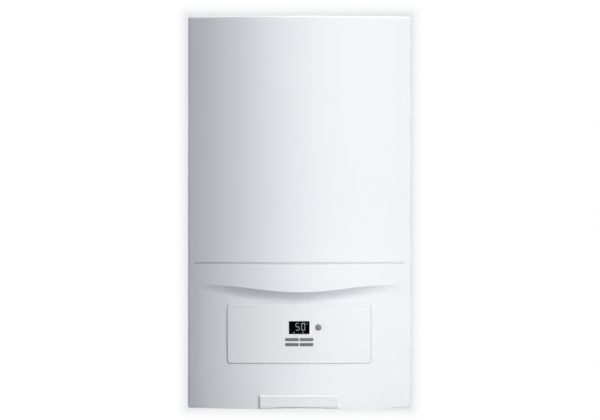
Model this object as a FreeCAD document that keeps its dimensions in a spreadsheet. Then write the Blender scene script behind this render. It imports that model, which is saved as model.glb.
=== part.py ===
"""Wall-hung gas boiler, built as an assembly of separate pieces.

Lengths are in millimetres. X runs to the right, Z up, and the front faces -Y.
The origin is the middle of the bracket's screw line, in the plane of the wall.
Depths are counted forwards from the wall, so a depth f lies at y = -f.
"""

import FreeCAD, Part
import Sketcher
import math
import os
import re

Vector = FreeCAD.Vector
Rotation = FreeCAD.Rotation

SIZES = {
    # whole boiler
    "casing_width": 400,
    "casing_height": 703,
    "casing_depth": 300,
    "hang_drop": 63,
    # sheet metal and common clearances
    "sheet": 1.5,
    "flange": 14,
    "seam_gap": 0.8,
    "fit_gap": 0.3,
    "running_gap": 0.05,
    "overrun": 5,
    # wall bracket and back panel
    "bracket_width": 280,
    "bracket_height": 50,
    "bracket_sheet": 2.5,
    "bracket_lip": 12,
    "wall_screw_spacing": 220,
    "wall_screw_radius": 4.5,
    "back_standoff": 10,
    "window_margin": 3,
    "window_drop": 15,
    # floor, rail, seal and sheet screws
    "floor_level": 45,
    "rail_level": 280,
    "rail_height": 20,
    "rail_setback": 95,
    "rail_width": 60,
    "rail_sheet": 2,
    "seal_width": 10,
    "seal_depth": 6,
    "seal_inset": 2,
    "tongue_width": 40,
    "tongue_spacing": 240,
    "tongue_reach": 14,
    "tongue_height": 2,
    "panel_screw_radius": 1.9,
    "panel_screw_head": 4,
    "panel_screw_rise": 2,
    "panel_screw_grip": 4,
    # flue
    "flue_depth": 130,
    "flue_bore": 30.2,
    "flue_wall": 1.8,
    "flue_stop": 1.7,
    "air_radius": 50,
    "air_wall": 1.5,
    "collar_rise": 4.5,
    "collar_drop": 35,
    "flue_flange": 130,
    "flue_flange_sheet": 2,
    "flue_web": 2,
    # expansion vessel
    "vessel_width": 320,
    "vessel_height": 300,
    "vessel_depth": 50,
    "vessel_level": 300,
    "vessel_round": 18,
    "vessel_rim": 4,
    "vessel_rim_thickness": 4,
    "vessel_wall": 1.5,
    "vessel_port": 4,
    # heat exchanger, burner and door
    "hx_offset": 45,
    "hx_level": 450,
    "hx_radius": 112,
    "hx_wall": 14,
    "hx_back_wall": 8,
    "hx_gap": 8.5,
    "hx_foot_spacing": 135,
    "hx_foot_width": 25,
    "hx_foot_inset": 6,
    "water_boss_radius": 16,
    "water_boss_spacing": 110,
    "water_boss_gap": 35,
    "drain_boss_radius": 12,
    "drain_boss_offset": 30,
    "drain_boss_setback": 19,
    "flue_socket_wall": 6,
    "flue_socket_rise": 125,
    "coil_bore": 56,
    "coil_room": 4,
    "coil_groove": 3,
    "coil_pitch": 11,
    "burner_radius": 34,
    "burner_wall": 1.5,
    "burner_back_gap": 20,
    "burner_flange": 3,
    "burner_flange_sheet": 2,
    "door_thickness": 12,
    "door_inset": 2,
    "arm_height": 46,
    "arm_drop": 3,
    "arm_start": 30,
    "arm_round": 8,
    "door_bolt_circle": 105,
    "door_bolt_radius": 3,
    "door_bolt_head": 5,
    "door_bolt_rise": 4,
    "door_bolt_grip": 14,
    "electrode_offset": 31,
    "electrode_radius": 5,
    "electrode_rise": 33,
    "electrode_insulator": 26,
    "electrode_tip": 40,
    "electrode_wire": 1.2,
    # ignition transformer and lead
    "transformer_width": 35,
    "transformer_depth": 40,
    "transformer_height": 65,
    "transformer_level": 320,
    "transformer_setback": 14,
    "lead_radius": 3.5,
    "lead_bend": 12,
    "lead_rise": 18,
    # fan, venturi, air pipe
    "front_room": 34,
    "fan_side_gap": 4,
    "fan_level": 430,
    "fan_radius": 56,
    "fan_depth": 46,
    "fan_wall": 3,
    "fan_outlet_reach": 2,
    "fan_inlet": 20,
    "fan_motor_radius": 34,
    "fan_motor_depth": 25,
    "fan_motor_round": 5,
    "impeller_room": 6,
    "impeller_sheet": 2,
    "blade_length": 12,
    "blade_thickness": 1.5,
    "hub_radius": 8,
    "fan_shaft": 3,
    "fan_shaft_grip": 12,
    "venturi_length": 45,
    "venturi_wall": 6,
    "venturi_boss": 14,
    "venturi_boss_drop": 32,
    "air_pipe_radius": 22,
    "air_pipe_wall": 1.5,
    "air_pipe_run": 42,
    "air_pipe_bend": 32,
    "air_pipe_rise": 180,
    # gas valve and pipe
    "valve_width": 80,
    "valve_depth": 65,
    "valve_height": 72,
    "valve_back_gap": 12,
    "valve_outlet": 10,
    "coil_cap_radius": 14,
    "coil_cap_rise": 12,
    "coil_cap_spacing": 36,
    "gas_radius": 7.5,
    "gas_wall": 1,
    "gas_rail_gap": 1.5,
    "gas_bend": 24,
    "gas_turn_level": 75,
    "gas_slope_level": 135,
    "gas_run_level": 215,
    # water pipes, all in one row
    "pipe_row": 82,
    "pipe_end_level": 10,
    "heating_spacing": 200,
    "heating_radius": 11,
    "heating_wall": 1.2,
    "heating_bend": 25,
    "water_spacing": 70,
    "water_radius": 7.5,
    "water_wall": 1,
    "return_turn_level": 265,
    "hole_gap": 1.2,
    # pump
    "pump_level": 130,
    "pump_radius": 48,
    "pump_depth": 50,
    "pump_wall": 9,
    "pump_boss_radius": 16,
    "pump_boss_reach": 56,
    "pump_arm_height": 16,
    "pump_arm_depth": 28,
    "pump_motor_radius": 42,
    "pump_motor_depth": 63,
    "pump_motor_round": 5,
    "pump_impeller_room": 4,
    "pump_shroud": 3,
    "pump_vane": 10,
    "pump_vane_thickness": 2,
    "pump_shaft": 4,
    "pump_shaft_grip": 12,
    # diverter, plate heat exchanger and relief valve
    "diverter_width": 50,
    "diverter_height": 80,
    "diverter_level": 110,
    "actuator_radius": 22,
    "actuator_depth": 44,
    "actuator_round": 4,
    "plate_stack_width": 120,
    "plate_stack_height": 85,
    "plate_stack_depth": 56,
    "plate_stack_level": 165,
    "plate_groove": 3,
    "plate_pitch": 7,
    "relief_reach": 25,
    "relief_radius": 12,
    "relief_level": 130,
    "relief_rise": 20,
    "relief_drop": 22,
    "relief_knob_radius": 15,
    "relief_knob_height": 20,
    "relief_stem": 4,
    "relief_stem_grip": 10,
    # condensate trap and hose
    "trap_radius": 26,
    "trap_side_gap": 12.5,
    "trap_front_gap": 12,
    "trap_top_level": 165,
    "trap_neck": 12,
    "trap_cap": 3,
    "trap_cap_height": 10,
    "trap_outlet": 10.75,
    "trap_outlet_wall": 1.8,
    "hose_radius": 9,
    "hose_wall": 2,
    "hose_bend": 20,
    "hose_turn_level": 306,
    "hose_slope_level": 262,
    "hose_drop_level": 215,
    # cable glands
    "gland_radius": 8,
    "gland_flange": 12,
    "gland_flange_height": 6,
    "gland_nut_height": 5,
    "gland_spacing": 30,
    "gland_side_gap": 33,
    "gland_bore": 4.5,
    # electronics box
    "ebox_side_gap": 33.5,
    "ebox_height": 196,
    "ebox_depth": 79.9,
    "ebox_clear": 9,
    "ebox_wall": 2.5,
    "ebox_cover": 2,
    "ebox_catch_width": 18,
    "ebox_catch_height": 15,
    "ebox_catch_drop": 30,
    "board_margin": 14,
    "board_thickness": 1.6,
    "board_post": 4,
    "board_post_height": 6,
    "board_part_height": 12,
    "board_post_inset": 10,
    "hinge_drop": 10,
    "hinge_setback": 11,
    "hinge_reach": 8,
    "hinge_inset": 15,
    "hinge_sheet": 3,
    "hinge_ear": 10,
    "hinge_pin_radius": 3,
    "hinge_foot": 34,
    "hinge_foot_drop": 4,
    "hinge_front_gap": 10,
    # front casing
    "casing_wall": 2,
    "bow_rise": 30,
    "side_return": 45,
    "casing_edge_round": 6,
    "casing_rim_round": 3.5,
    "groove_level": 260,
    "groove_height": 5,
    "groove_depth": 2.5,
    "groove_margin": 11,
    "lip_level": 209,
    "lip_rise": 12.6,
    "lip_run": 160,
    "scoop_side_gap": 12,
    "scoop_margin": 8,
    "scoop_depth": 8.5,
    "scoop_height": 20,
    "scoop_tip_height": 5,
    "scoop_shy": 0.1,
    # control fascia, display, keys
    "fascia_width": 257.6,
    "fascia_height": 106,
    "fascia_level": 81.3,
    "fascia_corner": 6,
    "fascia_edge": 1.2,
    "fascia_rise": 6,
    "fascia_proud": 0.4,
    "fascia_depth": 22,
    "fascia_wall": 2.5,
    "fascia_gap": 0.6,
    "display_width": 36.5,
    "display_height": 22.6,
    "display_level": 145.3,
    "window_inset": 0.3,
    "window_flange": 2,
    "window_flange_sheet": 1.2,
    "module_margin": 3,
    "module_board_width": 110,
    "module_board_height": 70,
    "module_board_level": 133,
    "module_post": 4,
    "module_post_height": 3,
    "module_post_inset": 6,
    "key_width": 23.7,
    "key_height": 5,
    "key_spacing": 26,
    "upper_key_level": 124,
    "lower_key_level": 115,
    "key_proud": 0.6,
    "key_flange": 0.7,
    "key_flange_sheet": 1.5,
    "key_slack": 0.6,
    "key_travel": 0.8,
    "key_stem": 1.5,
    "key_round": 0.8,
    "reset_offset": 34.3,
    "reset_level": 145.8,
    "reset_radius": 5.2,
    # cover plate at the bottom edge, and the screw behind it
    "cover_width": 142,
    "cover_top_level": 24,
    "cover_gap": 0.2,
    "cover_slot": 2.8,
    "cover_proud": 1.2,
    "cover_thickness": 3,
    "cover_bevel": 1.8,
    "cover_leg_width": 10,
    "cover_leg_height": 12,
    "cover_leg_spacing": 90,
    "pocket_depth": 12,
    "casing_screw_radius": 2.4,
    "casing_screw_head": 5,
    "casing_screw_rise": 3,
    "catch_half": 12,
    "catch_height": 11,
    "catch_gap": 6,
    "catch_foot": 30,
    "catch_sheet": 3,
}

# Parts of a depth or row that are kept as shares
SCREW_ROW_SHARES = (0.2, 0.5, 0.8)
LIP_CURVE_SHARE = 0.55
LIP_STATION_SHARES = (-1, -0.8, -0.6, -0.4, -0.2, 0, 0.2, 0.4, 0.6, 0.8, 1)
SCOOP_FADE_SHARE = 0.75
INNER_LIP_SHARE = 0.6

DOOR_BOLTS = 6
FAN_BLADES = 24
PUMP_VANES = 6

PLACES = {
    # chassis
    "base": "hang_drop - casing_height",
    "top": "hang_drop",
    "half_width": "casing_width / 2",
    "inner_half": "half_width - sheet",
    "panel_half": "inner_half - flange",
    "back_front": "back_standoff + sheet",
    "seam": "casing_depth - bow_rise - side_return",
    "chassis_front": "seam - seam_gap",
    "flange_back": "chassis_front - sheet",
    "floor_under": "base + floor_level",
    "floor_top": "floor_under + sheet",
    "rail_under": "base + rail_level",
    "rail_top": "rail_under + rail_height",
    "rail_back": "fan_back - rail_setback",
    "rail_front": "rail_back + rail_width",
    "lip_back": "back_front + fit_gap",
    "tongue_top": "top - sheet - fit_gap",
    "tongue_under": "tongue_top - tongue_height",
    # flue
    "flue_outer": "flue_bore + flue_wall",
    "flue_inner": "flue_bore - flue_stop",
    "socket_end": "top - collar_drop",
    "flue_start": "hx_axis + flue_socket_rise",
    # combustion
    "vessel_front": "back_front + vessel_depth",
    "vessel_under": "base + vessel_level",
    "vessel_mid": "back_front + vessel_depth / 2",
    "motor_front": "casing_depth - front_room",
    "fan_front": "motor_front - fan_motor_depth",
    "fan_back": "fan_front - fan_depth",
    "fan_x": "panel_half - fan_side_gap - fan_radius",
    "fan_axis": "base + fan_level",
    "fan_left": "fan_x - fan_radius - fan_outlet_reach",
    "hx_x": "0 - hx_offset",
    "hx_axis": "base + hx_level",
    "hx_back": "vessel_front + hx_gap",
    "hx_bore": "hx_radius - hx_wall",
    "boss_end": "rail_top + water_boss_gap",
    "flow_x": "0 - heating_spacing / 2",
    "return_x": "flow_x + water_boss_spacing",
    "drain_x": "hx_x - drain_boss_offset",
    "drain_f": "fan_back - drain_boss_setback",
    "coil_back": "hx_back + hx_back_wall",
    "coil_front": "fan_back - coil_room",
    "door_front": "fan_back + door_thickness",
    "arm_mid": "fan_axis + fan_radius - arm_drop - arm_height / 2",
    "electrode_z": "hx_axis - electrode_offset",
    "electrode_end": "door_front + electrode_rise",
    "transformer_front": "flange_back - transformer_setback",
    "transformer_under": "base + transformer_level",
    "impeller_radius": "fan_radius - fan_wall - impeller_room",
    "impeller_back": "fan_back + fan_wall + impeller_room",
    "impeller_front": "fan_front - fan_wall - impeller_room",
    "venturi_back": "fan_back - venturi_length",
    "venturi_mid": "fan_back - venturi_length / 2",
    "venturi_radius": "fan_inlet + venturi_wall",
    "valve_back": "rail_back + valve_back_gap",
    "gas_depth": "rail_front + gas_rail_gap + gas_radius",
    "valve_front": "valve_back + valve_depth",
    "valve_top": "rail_top + valve_height",
    # water
    "pipe_end": "base + pipe_end_level",
    "pump_x": "heating_spacing / 2",
    "pump_axis": "base + pump_level",
    "pump_back": "pipe_row - pump_depth / 2",
    "pump_front": "pipe_row + pump_depth / 2",
    "pump_under": "pump_axis - pump_boss_reach",
    "pump_over": "pump_axis + pump_boss_reach",
    "pump_motor_front": "pump_front + pump_motor_depth",
    "pump_cavity": "pump_radius - pump_wall",
    "pump_wheel": "pump_cavity - pump_impeller_room",
    "wheel_back": "pump_back + pump_wall + pump_impeller_room",
    "wheel_front": "pump_front - pump_wall - pump_impeller_room",
    "diverter_left": "flow_x - diverter_width / 2",
    "diverter_right": "flow_x + diverter_width / 2",
    "diverter_under": "base + diverter_level",
    "diverter_top": "diverter_under + diverter_height",
    "diverter_mid": "diverter_under + diverter_height / 2",
    "actuator_front": "pump_front + actuator_depth",
    "stack_right": "diverter_right + plate_stack_width",
    "stack_under": "base + plate_stack_level",
    "stack_top": "stack_under + plate_stack_height",
    "stack_back": "pipe_row - plate_stack_depth / 2",
    "stack_front": "pipe_row + plate_stack_depth / 2",
    "relief_x": "diverter_left - relief_reach",
    "relief_z": "base + relief_level",
    "relief_top": "relief_z + relief_rise",
    "relief_under": "relief_z - relief_drop",
    "trap_x": "trap_radius + trap_side_gap - inner_half",
    "trap_depth": "ebox_back - ebox_cover - trap_front_gap - trap_radius",
    "trap_top": "base + trap_top_level",
    "trap_neck_top": "trap_top + trap_neck",
    # electronics box and hinge
    "ebox_half": "inner_half - ebox_side_gap",
    "ebox_bottom": "floor_under + flange + ebox_clear",
    "ebox_top": "ebox_bottom + ebox_height",
    "ebox_front": "fascia_face - fascia_depth",
    "ebox_back": "ebox_front - ebox_depth",
    "board_front": "ebox_front - ebox_wall - board_post_height",
    "board_back": "board_front - board_thickness",
    "hinge_f": "ebox_front - hinge_setback",
    "hinge_z": "ebox_bottom - hinge_drop",
    "hinge_in": "ebox_half - hinge_inset",
    "hinge_out": "hinge_in + hinge_sheet",
    "hinge_foot_under": "floor_under - hinge_foot_drop",
    # casing, fascia and what is set into them
    "bow_radius": "(half_width * half_width + bow_rise * bow_rise) / (2 * bow_rise)",
    "bow_centre": "casing_depth - bow_radius",
    "groove_mid": "base + groove_level",
    "scoop_half": "half_width - scoop_side_gap",
    "scoop_face": "casing_depth - scoop_depth",
    "fascia_half": "fascia_width / 2",
    "fascia_under": "base + fascia_level",
    "fascia_top": "fascia_under + fascia_height",
    "fascia_face": "scoop_face + fascia_proud",
    "fascia_inner": "fascia_face - fascia_wall",
    "fascia_radius": "(fascia_half * fascia_half + fascia_rise * fascia_rise) / (2 * fascia_rise)",
    "display_z": "base + display_level",
    "window_back": "fascia_inner - fit_gap - window_flange_sheet",
    "module_back": "ebox_front + module_post_height",
    "module_face": "module_back + board_thickness",
    "module_z": "base + module_board_level",
    "key_face": "fascia_face + key_proud",
    "key_stop": "fascia_inner - key_slack",
    "key_flange_back": "key_stop - key_flange_sheet",
    "key_end": "module_face + key_travel + fit_gap",
    "reset_z": "base + reset_level",
    "cover_half": "cover_width / 2",
    "cover_front": "casing_depth - scoop_depth * scoop_fade + cover_proud",
    "cover_back": "cover_front - cover_thickness",
    "cover_under": "base + casing_wall + cover_gap",
    "cover_top": "base + cover_top_level",
    "cover_mid": "(cover_under + cover_top) / 2",
    "pocket_face": "cover_front - pocket_depth",
    "pocket_back": "pocket_face - casing_wall",
    "catch_front": "pocket_back - catch_gap",
    "scoop_fade": str(SCOOP_FADE_SHARE),
}

# Each key's place across the fascia and its level
KEYS = {
    "upper_left_key": ("0 - key_spacing / 2", "upper_key_level"),
    "upper_right_key": ("key_spacing / 2", "upper_key_level"),
    "lower_left_key": ("0 - key_spacing / 2", "lower_key_level"),
    "lower_right_key": ("key_spacing / 2", "lower_key_level"),
}

doc = FreeCAD.newDocument("GasBoiler")
sheet = doc.addObject("Spreadsheet::Sheet", "Sheet")
for row, (alias, size) in enumerate(SIZES.items(), start=1):
    sheet.set(f"A{row}", alias)
    sheet.set(f"B{row}", str(size))
    sheet.setAlias(f"B{row}", alias)
doc.recompute()

WORD = re.compile("[a-z_]+")
subparts = []


def cells(text):
    """Write an expression in named sizes and places as one in sheet cells."""

    def cell(match):
        word = match.group(0)
        if word in SIZES:
            return "Sheet." + word
        if word in PLACES:
            return "(" + cells(PLACES[word]) + ")"
        return word

    return WORD.sub(cell, text)


def value(text):
    return float(sheet.evalExpression(cells(text)))


def bind(item, **expressions):
    """Bind properties to the sheet; a double underscore stands for a dot."""
    for name, text in expressions.items():
        item.setExpression(name.replace("__", "."), cells(text))
    return item


def spot(x, f, z):
    return Vector(value(x), -value(f), value(z))


def minus(text):
    return f"0 - ({text})"


def both(text):
    """A span that lies evenly about zero."""
    return minus(text), text


def about(middle, size):
    """A span of a given size about a middle."""
    return f"{middle} - ({size}) / 2", f"{middle} + ({size}) / 2"


def past(span):
    """A span lengthened at both ends, for a cut right through."""
    return f"{span[0]} - overrun", f"{span[1]} + overrun"


def block(x, f, z):
    """A box between two faces along each of the three directions."""
    item = doc.addObject("Part::Box", "Block")
    bind(item, Length=f"({x[1]}) - ({x[0]})", Width=f"({f[1]}) - ({f[0]})", Height=f"({z[1]}) - ({z[0]})")
    return bind(item, Placement__Base__x=x[0], Placement__Base__y=minus(f[1]), Placement__Base__z=z[0])


def rod(axis, place, span, radius):
    """A cylinder along x, f or z, placed by its two other coordinates."""
    item = doc.addObject("Part::Cylinder", "Rod")
    bind(item, Radius=radius, Height=f"({span[1]}) - ({span[0]})")
    turns = {"x": Rotation(Vector(0, 1, 0), 90), "f": Rotation(Vector(1, 0, 0), 90), "z": Rotation()}
    item.Placement.Rotation = turns[axis]
    x, f, z = {
        "x": (span[0], *place),
        "f": (place[0], span[0], place[1]),
        "z": (*place, span[0]),
    }[axis]
    return bind(item, Placement__Base__x=x, Placement__Base__y=minus(f), Placement__Base__z=z)


def tube(axis, place, span, radius, bore):
    return cut(rod(axis, place, span, radius), rod(axis, place, past(span), bore))


def cut(base, *tools):
    item = doc.addObject("Part::Cut", "Cut")
    item.Base = base
    item.Tool = tools[0] if len(tools) == 1 else fuse(*tools)
    return item


def fuse(*items):
    item = doc.addObject("Part::MultiFuse", "Fusion")
    item.Shapes = list(items)
    return item


def common(base, tool):
    item = doc.addObject("Part::Common", "Common")
    item.Base = base
    item.Tool = tool
    return item


def group(*items):
    item = doc.addObject("Part::Compound", "Group")
    item.Links = list(items)
    return item


def mirrored(source):
    """The same piece on the other side of the boiler's middle."""
    item = doc.addObject("Part::Mirroring", "Mirror")
    item.Source = source
    item.Normal = Vector(1, 0, 0)
    return item


def feature(name, shape):
    item = doc.addObject("Part::Feature", name)
    item.Shape = shape
    return item


def dressed(kind, base, size, chosen):
    """Fillet or chamfer the edges that a test chooses."""
    doc.recompute()
    amount = value(size)
    edges = [(n, amount, amount) for n, edge in enumerate(base.Shape.Edges, start=1) if chosen(edge)]
    item = doc.addObject(kind, "Dressed")
    item.Base = base
    item.Edges = edges
    return item


def rounded(base, size, chosen):
    return dressed("Part::Fillet", base, size, chosen)


def along(direction):
    """Edges that run straight along a direction."""

    def chosen(edge):
        if len(edge.Vertexes) < 2:
            return False
        run = edge.Vertexes[1].Point - edge.Vertexes[0].Point
        return run.Length > 0 and abs(run.normalize().dot(direction)) > 1 - Part.Precision.confusion()

    return chosen


def lying_on(direction, *levels):
    """Edges that lie in one of the planes square to a direction."""
    places = [value(level) for level in levels]

    def chosen(edge):
        ends = [vertex.Point.dot(direction) for vertex in edge.Vertexes]
        near = Part.Precision.confusion() * len(edge.Vertexes)
        return any(max(abs(end - place) for end in ends) <= near for place in places)

    return chosen


def subpart(label, item):
    item.Label = label
    subparts.append(item)
    return item


def body(name):
    return doc.addObject("PartDesign::Body", name)


def sketch_on(owner, role, offset):
    """An empty sketch on one of a body's origin planes, moved along its normal."""
    plane = [item for item in owner.Origin.OriginFeatures if item.Role == role][0]
    sketch = owner.newObject("Sketcher::SketchObject", "Sketch")
    sketch.AttachmentSupport = [(plane, "")]
    sketch.MapMode = "FlatFace"
    return bind(sketch, AttachmentOffset__Base__z=offset)


def hold(sketch, kind, parts, text):
    """Add one dimension to a sketch and bind it."""
    index = sketch.addConstraint(Sketcher.Constraint(kind, *parts, value(text)))
    sketch.setExpression(f"Constraints[{index}]", cells(text))


def hold_point(sketch, curve, end, place):
    hold(sketch, "DistanceX", (-1, 1, curve, end), place[0])
    hold(sketch, "DistanceY", (-1, 1, curve, end), place[1])


def draw_outline(sketch, corners):
    """Draw a closed outline of straight sides through the corners."""
    points = [Vector(value(u), value(v), 0) for u, v in corners]
    first = sketch.GeometryCount
    count = len(corners)
    for n in range(count):
        sketch.addGeometry(Part.LineSegment(points[n], points[(n + 1) % count]))
    for n in range(count):
        sketch.addConstraint(Sketcher.Constraint("Coincident", first + n, 2, first + (n + 1) % count, 1))
    for n, corner in enumerate(corners):
        hold_point(sketch, first + n, 1, corner)
    return sketch


def draw_circle(sketch, place, radius):
    centre = Vector(value(place[0]), value(place[1]), 0)
    curve = sketch.addGeometry(Part.Circle(centre, Vector(0, 0, 1), value(radius)))
    hold_point(sketch, curve, 3, place)
    hold(sketch, "Radius", (curve,), radius)
    return sketch


def rectangle(u, v):
    return [(u[0], v[0]), (u[1], v[0]), (u[1], v[1]), (u[0], v[1])]


def pad(owner, sketch, length):
    item = owner.newObject("PartDesign::Pad", "Pad")
    item.Profile = sketch
    return bind(item, Length=length)


def pocket(owner, sketch):
    """Cut a sketch right through the body, both ways."""
    item = owner.newObject("PartDesign::Pocket", "Pocket")
    item.Profile = sketch
    item.Type = "ThroughAll"
    item.SideType = "Symmetric"
    return item


def polar(owner, original, count, role="Y_Axis"):
    """Repeat a feature evenly about one of the body's axes."""
    axis = [item for item in owner.Origin.OriginFeatures if item.Role == role][0]
    item = owner.newObject("PartDesign::PolarPattern", "Pattern")
    item.Originals = [original]
    item.Axis = (axis, [""])
    item.Angle = 360
    item.Occurrences = count
    owner.Tip = item
    return item


def bow_block(half, back, front, radius, low, high):
    """A block whose front bows out in an arc when seen from above."""
    side = f"({front}) - ({radius}) + sqrt(({radius}) * ({radius}) - ({half}) * ({half}))"
    owner = body("Bow")
    sketch = sketch_on(owner, "XY_Plane", low)
    arc_centre = Vector(0, value(radius) - value(front), 0)
    spread = math.asin(value(half) / value(radius))
    left = (minus(half), minus(side))
    right = (half, minus(side))
    corners = [(minus(half), minus(back)), left, right, (half, minus(back))]
    points = [Vector(value(u), value(v), 0) for u, v in corners]
    circle = Part.Circle(arc_centre, Vector(0, 0, 1), value(radius))
    down = -math.pi / 2
    sketch.addGeometry(Part.LineSegment(points[0], points[1]))
    sketch.addGeometry(Part.ArcOfCircle(circle, down - spread, down + spread))
    sketch.addGeometry(Part.LineSegment(points[2], points[3]))
    sketch.addGeometry(Part.LineSegment(points[3], points[0]))
    for n in range(len(corners)):
        sketch.addConstraint(Sketcher.Constraint("Coincident", n, 2, (n + 1) % len(corners), 1))
    for n, corner in enumerate(corners):
        hold_point(sketch, n, 1, corner)
    hold(sketch, "Radius", (1,), radius)
    pad(owner, sketch, f"({high}) - ({low})")
    return owner


def route(points, bend):
    """Straight runs joined by tangent arcs of one radius."""
    radius = value(bend)
    edges = []
    start = points[0]
    for before, corner, after in zip(points, points[1:], points[2:]):
        arriving = (corner - before).normalize()
        leaving = (after - corner).normalize()
        half_turn = arriving.getAngle(leaving) / 2
        reach = radius * math.tan(half_turn)
        inward = (leaving - arriving).normalize()
        first = corner - arriving * reach
        last = corner + leaving * reach
        middle = corner + inward * (radius / math.cos(half_turn) - radius)
        edges.append(Part.LineSegment(start, first).toShape())
        edges.append(Part.Arc(first, middle, last).toShape())
        start = last
    edges.append(Part.LineSegment(start, points[-1]).toShape())
    return Part.Wire(edges)


def pipe(name, places, bend, radius, bore=None):
    """A bent pipe along a route, hollow where it has a bore."""
    points = [spot(*place) for place in places]
    path = route(points, bend)
    solids = []
    for size in (radius, bore):
        if size:
            ring = Part.Wire(Part.makeCircle(value(size), points[0], points[1] - points[0]))
            solids.append(path.makePipeShell([ring], True, False))
    return feature(name, solids[0].cut(solids[1]) if bore else solids[0])


def ring_places(count, x, z, radius):
    """Places spread evenly round a horizontal axis, half a step off the level."""
    for n in range(count):
        angle = 360 * (n + 1 / 2) / count
        yield f"{x} + {radius} * cos({angle})", f"{z} + {radius} * sin({angle})"


def wall_bracket():
    plate = block(both("bracket_width / 2"), ("0", "bracket_sheet"), both("bracket_height / 2"))
    ledge_z = ("bracket_height / 2 - bracket_sheet", "bracket_height / 2")
    ledge = block(both("bracket_width / 2"), ("0", "lip_back + bracket_sheet"), ledge_z)
    lip_z = (ledge_z[0], "bracket_height / 2 + bracket_lip")
    lip = block(both("bracket_width / 2"), ("lip_back", "lip_back + bracket_sheet"), lip_z)
    holes = [
        rod("f", (x, "0"), past(("0", "bracket_sheet")), "wall_screw_radius")
        for x in both("wall_screw_spacing / 2")
    ]
    subpart("wall_bracket", cut(fuse(plate, ledge, lip), *holes))


def back_panel():
    owner = body("BackPanel")
    outline = rectangle(both("inner_half"), ("base", "top - sheet"))
    inside = rectangle(both("inner_half - sheet"), ("base + sheet", "top - sheet - sheet"))
    pad(owner, draw_outline(sketch_on(owner, "XZ_Plane", "back_standoff"), outline), "sheet")
    rim = draw_outline(draw_outline(sketch_on(owner, "XZ_Plane", "0"), outline), inside)
    pad(owner, rim, "back_standoff")
    window_z = ("0 - bracket_height / 2 - window_drop", "bracket_height / 2")
    window = rectangle(both("bracket_width / 2 + window_margin"), window_z)
    pocket(owner, draw_outline(sketch_on(owner, "XZ_Plane", "0"), window))
    subpart("back_panel", owner)


def panel_screw_places():
    """The sheet screws along one top edge."""
    for share in SCREW_ROW_SHARES:
        yield "inner_half - flange / 2", f"chassis_front * {share}"


def side_panels():
    wall = block(("inner_half", "half_width"), ("0", "chassis_front"), ("base", "top"))
    edge_x = ("panel_half", "inner_half")
    front = block(edge_x, ("flange_back", "chassis_front"), ("floor_top", "top - sheet"))
    ledge_z = ("top - sheet - sheet", "top - sheet")
    ledge = block(edge_x, ("back_front", "flange_back"), ledge_z)
    catch_z = ("ebox_top - ebox_catch_drop", "ebox_top - ebox_catch_drop + ebox_catch_height")
    catch_f = ("flange_back - ebox_catch_width", "flange_back")
    catch = block(("ebox_half + fit_gap", "inner_half"), catch_f, catch_z)
    radius = "panel_screw_radius + running_gap"
    holes = [rod("z", place, past(ledge_z), radius) for place in panel_screw_places()]
    right = cut(fuse(wall, front, ledge, catch), *holes)
    subpart("right_side_panel", right)
    subpart("left_side_panel", mirrored(right))


def top_panel():
    plate_z = ("top - sheet", "top")
    plate = block(both("inner_half"), ("0", "chassis_front"), plate_z)
    front = block(both("panel_half"), ("flange_back", "chassis_front"), ("top - sheet - flange", "top"))
    tools = [rod("z", ("0", "flue_depth"), past(plate_z), "air_radius + fit_gap")]
    radius = "panel_screw_radius + running_gap"
    for x, f in panel_screw_places():
        tools.append(rod("z", (x, f), past(plate_z), radius))
        tools.append(rod("z", (minus(x), f), past(plate_z), radius))
    slot_z = ("tongue_under - fit_gap", "top - sheet")
    for middle in both("tongue_spacing / 2"):
        span = about(middle, "tongue_width + fit_gap + fit_gap")
        tools.append(block(span, past(("flange_back", "chassis_front")), slot_z))
    subpart("top_panel", cut(fuse(plate, front), *tools))


def panel_screws():
    screws = []
    for x, f in panel_screw_places():
        for side in (x, minus(x)):
            head = rod("z", (side, f), ("top", "top + panel_screw_rise"), "panel_screw_head")
            shank_z = ("top - sheet - sheet - panel_screw_grip", "top")
            shank = rod("z", (side, f), shank_z, "panel_screw_radius")
            screws.append(fuse(head, shank))
    subpart("panel_screws", group(*screws))


def gland_places():
    yield "inner_half - gland_side_gap", "trap_depth"
    yield "inner_half - gland_side_gap - gland_spacing", "trap_depth"


def bottom_plate():
    plate_z = ("floor_under", "floor_top")
    plate = block(both("inner_half"), ("back_front", "flange_back"), plate_z)
    front_z = ("floor_under", "floor_under + flange")
    front = block(both("panel_half"), ("flange_back", "chassis_front"), front_z)
    foot_f = ("flange_back - catch_foot", "flange_back")
    foot_z = ("floor_under - catch_sheet", "floor_under")
    foot = block(both("catch_half"), foot_f, foot_z)
    bar_z = about("cover_mid", "catch_height")
    leg = block(both("catch_half"), ("flange_back - catch_sheet", "flange_back"), (bar_z[0], "floor_under"))
    bar_f = ("flange_back - catch_sheet", "catch_front")
    bar = block(both("catch_half"), bar_f, bar_z)
    places = [
        ("flow_x", "pipe_row", "heating_radius"),
        ("pump_x", "pipe_row", "heating_radius"),
        ("0", "pipe_row", "gas_radius"),
        ("water_spacing / 2", "pipe_row", "water_radius"),
        ("0 - water_spacing / 2", "pipe_row", "water_radius"),
        ("relief_x", "pipe_row", "water_radius"),
        ("trap_x", "trap_depth", "trap_outlet"),
    ]
    places += [(x, f, "gland_radius") for x, f in gland_places()]
    holes = [rod("z", (x, f), past(plate_z), f"{radius} + hole_gap") for x, f, radius in places]
    screw = rod("f", ("0", "cover_mid"), past(bar_f), "casing_screw_radius + running_gap")
    subpart("bottom_plate", cut(fuse(plate, front, foot, leg, bar), screw, *holes))


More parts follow.
